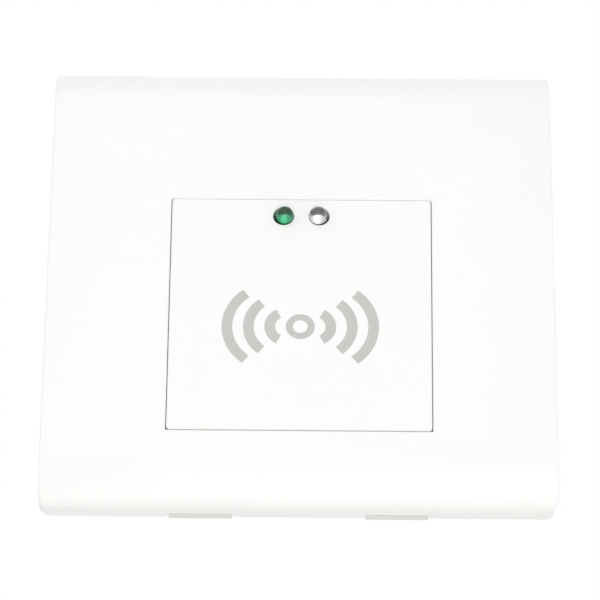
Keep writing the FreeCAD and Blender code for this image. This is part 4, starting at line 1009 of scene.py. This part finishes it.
class READER_OT_stage(Operator):
    """Sets up the camera, the lamps, the floor and the white surroundings"""

    bl_idname = "reader.stage"
    bl_label = "Stage"

    # each square lamp's name, place and side in metres; all of them face the reader
    lamps = (("key", (-0.25, -0.80, 0.62), 0.9), ("fill", (0.15, -0.86, -0.36), 0.8),
             ("low", (0.0, -0.42, -0.50), 0.5), ("back", (0.35, 0.90, 0.45), 0.9))

    def execute(self, context):
        start_fresh()
        setting = context.scene.reader_stage
        self.add_camera(context, setting)
        self.add_surround(context, setting)
        self.add_floor(setting)
        for name, place, side in self.lamps:
            watts = getattr(setting, f"{name}_power")
            self.add_lamp(f"{name.title()} lamp", place, side, watts)
        context.scene.view_settings.view_transform = "Standard"
        return {"FINISHED"}

    @staticmethod
    def add_camera(context, setting):
        """The camera, below the reader and looking up at its rim."""
        lean = Matrix.Rotation(math.radians(90) + setting.tilt, 4, "X")
        rolled = lean @ Matrix.Rotation(setting.roll, 4, "Z")
        right = Vector((1.0, 0.0, 0.0))
        ahead = Vector((0.0, math.cos(setting.tilt), math.sin(setting.tilt)))
        above = Vector((0.0, -math.sin(setting.tilt), math.cos(setting.tilt)))
        stand = -setting.distance * ahead - setting.aim_right * right - setting.aim_up * above
        heading = Matrix.Rotation(setting.heading, 4, "Z")
        target = Matrix.Translation((0.0, RIM, 0.0))
        lens = bpy.data.cameras.new("Camera")
        lens.sensor_width = 36.0
        lens.lens = setting.lens
        lens.clip_start = 0.01
        camera = bpy.data.objects.new("Camera", lens)
        context.scene.collection.objects.link(camera)
        camera.matrix_world = target @ heading @ Matrix.Translation(stand) @ rolled
        context.scene.camera = camera

    @staticmethod
    def add_surround(context, setting):
        """Even light from all sides, and white behind the reader."""
        world = bpy.data.worlds.new("Surround")
        context.scene.world = world
        world.use_nodes = True
        tree = world.node_tree
        tree.nodes.clear()
        leave = shader_node(tree, "ShaderNodeOutputWorld", (600, 0))
        light = shader_node(tree, "ShaderNodeBackground", (300, 0))
        level = shader_node(tree, "ShaderNodeMapRange", (0, 100))
        tree.links.new(seen_directly(tree), level.inputs["Value"])
        set_inputs(level, To_Min=setting.surround, To_Max=1.0)
        tree.links.new(level.outputs["Result"], light.inputs["Strength"])
        light.inputs["Color"].default_value = (1.0, 1.0, 1.0, 1.0)
        tree.links.new(light.outputs[0], leave.inputs["Surface"])

    @staticmethod
    def add_floor(setting):
        """White paper well below the reader."""
        bpy.ops.mesh.primitive_plane_add(size=6.0, location=(0.0, 0.0, -setting.floor_drop))
        floor = named("floor")
        settle(floor)
        material = bpy.data.materials.new("Floor paper")
        material.use_nodes = True
        tree = material.node_tree
        tree.nodes.clear()
        leave = shader_node(tree, "ShaderNodeOutputMaterial", (600, 0))
        paper = shader_node(tree, "ShaderNodeBsdfDiffuse", (0, -100))
        paper.inputs["Color"].default_value = (0.86, 0.86, 0.85, 1.0)
        glow = shader_node(tree, "ShaderNodeEmission", (0, 100))
        glow.inputs["Strength"].default_value = 1.0
        mixed = shader_node(tree, "ShaderNodeMixShader", (300, 0))
        tree.links.new(seen_directly(tree), mixed.inputs[0])
        tree.links.new(paper.outputs[0], mixed.inputs[1])
        tree.links.new(glow.outputs[0], mixed.inputs[2])
        tree.links.new(mixed.outputs[0], leave.inputs["Surface"])
        floor.data.materials.append(material)

    @staticmethod
    def add_lamp(name, place, side, watts):
        """A square lamp that faces the reader."""
        light = bpy.data.lights.new(name, "AREA")
        light.shape = "SQUARE"
        light.size = side
        light.energy = watts
        lamp = bpy.data.objects.new(name, light)
        bpy.context.scene.collection.objects.link(lamp)
        lamp.location = place
        lamp.rotation_euler = (-Vector(place)).to_track_quat("-Z", "Y").to_euler()


# ---------------------------------------------------------------- sidebar and start

STEPS = ["finishes", "cover", "frame", "housing", "fittings", "lamps", "screws", "sign", "stage"]


class READER_PT_sidebar(Panel):
    """Lists the steps and their sizes and colours"""

    bl_label = "Card Reader"
    bl_idname = "READER_PT_sidebar"
    bl_space_type = "VIEW_3D"
    bl_region_type = "UI"
    bl_category = "Card Reader"

    def draw(self, context):
        for step in STEPS:
            self.layout.operator(f"reader.{step}")
        for group in (context.scene.reader_sizes, context.scene.reader_colours,
                      context.scene.reader_stage):
            box = self.layout.box()
            for key in group.bl_rna.properties.keys():
                if key not in {"rna_type", "name"}:
                    box.prop(group, key)


CLASSES = (ReaderSizes, ReaderColours, StageSettings, READER_OT_finishes, READER_OT_cover,
           READER_OT_frame, READER_OT_housing, READER_OT_fittings, READER_OT_lamps,
           READER_OT_screws, READER_OT_sign, READER_OT_stage, READER_PT_sidebar)


def register():
    for item in CLASSES:
        bpy.utils.register_class(item)
    bpy.types.Scene.reader_sizes = PointerProperty(type=ReaderSizes)
    bpy.types.Scene.reader_colours = PointerProperty(type=ReaderColours)
    bpy.types.Scene.reader_stage = PointerProperty(type=StageSettings)


def unregister():
    del bpy.types.Scene.reader_stage
    del bpy.types.Scene.reader_colours
    del bpy.types.Scene.reader_sizes
    for item in reversed(CLASSES):
        bpy.utils.unregister_class(item)


def main():
    """Runs every step in order."""
    register()
    for step in STEPS:
        getattr(bpy.ops.reader, step)()


if __name__ == "__main__":
    main()
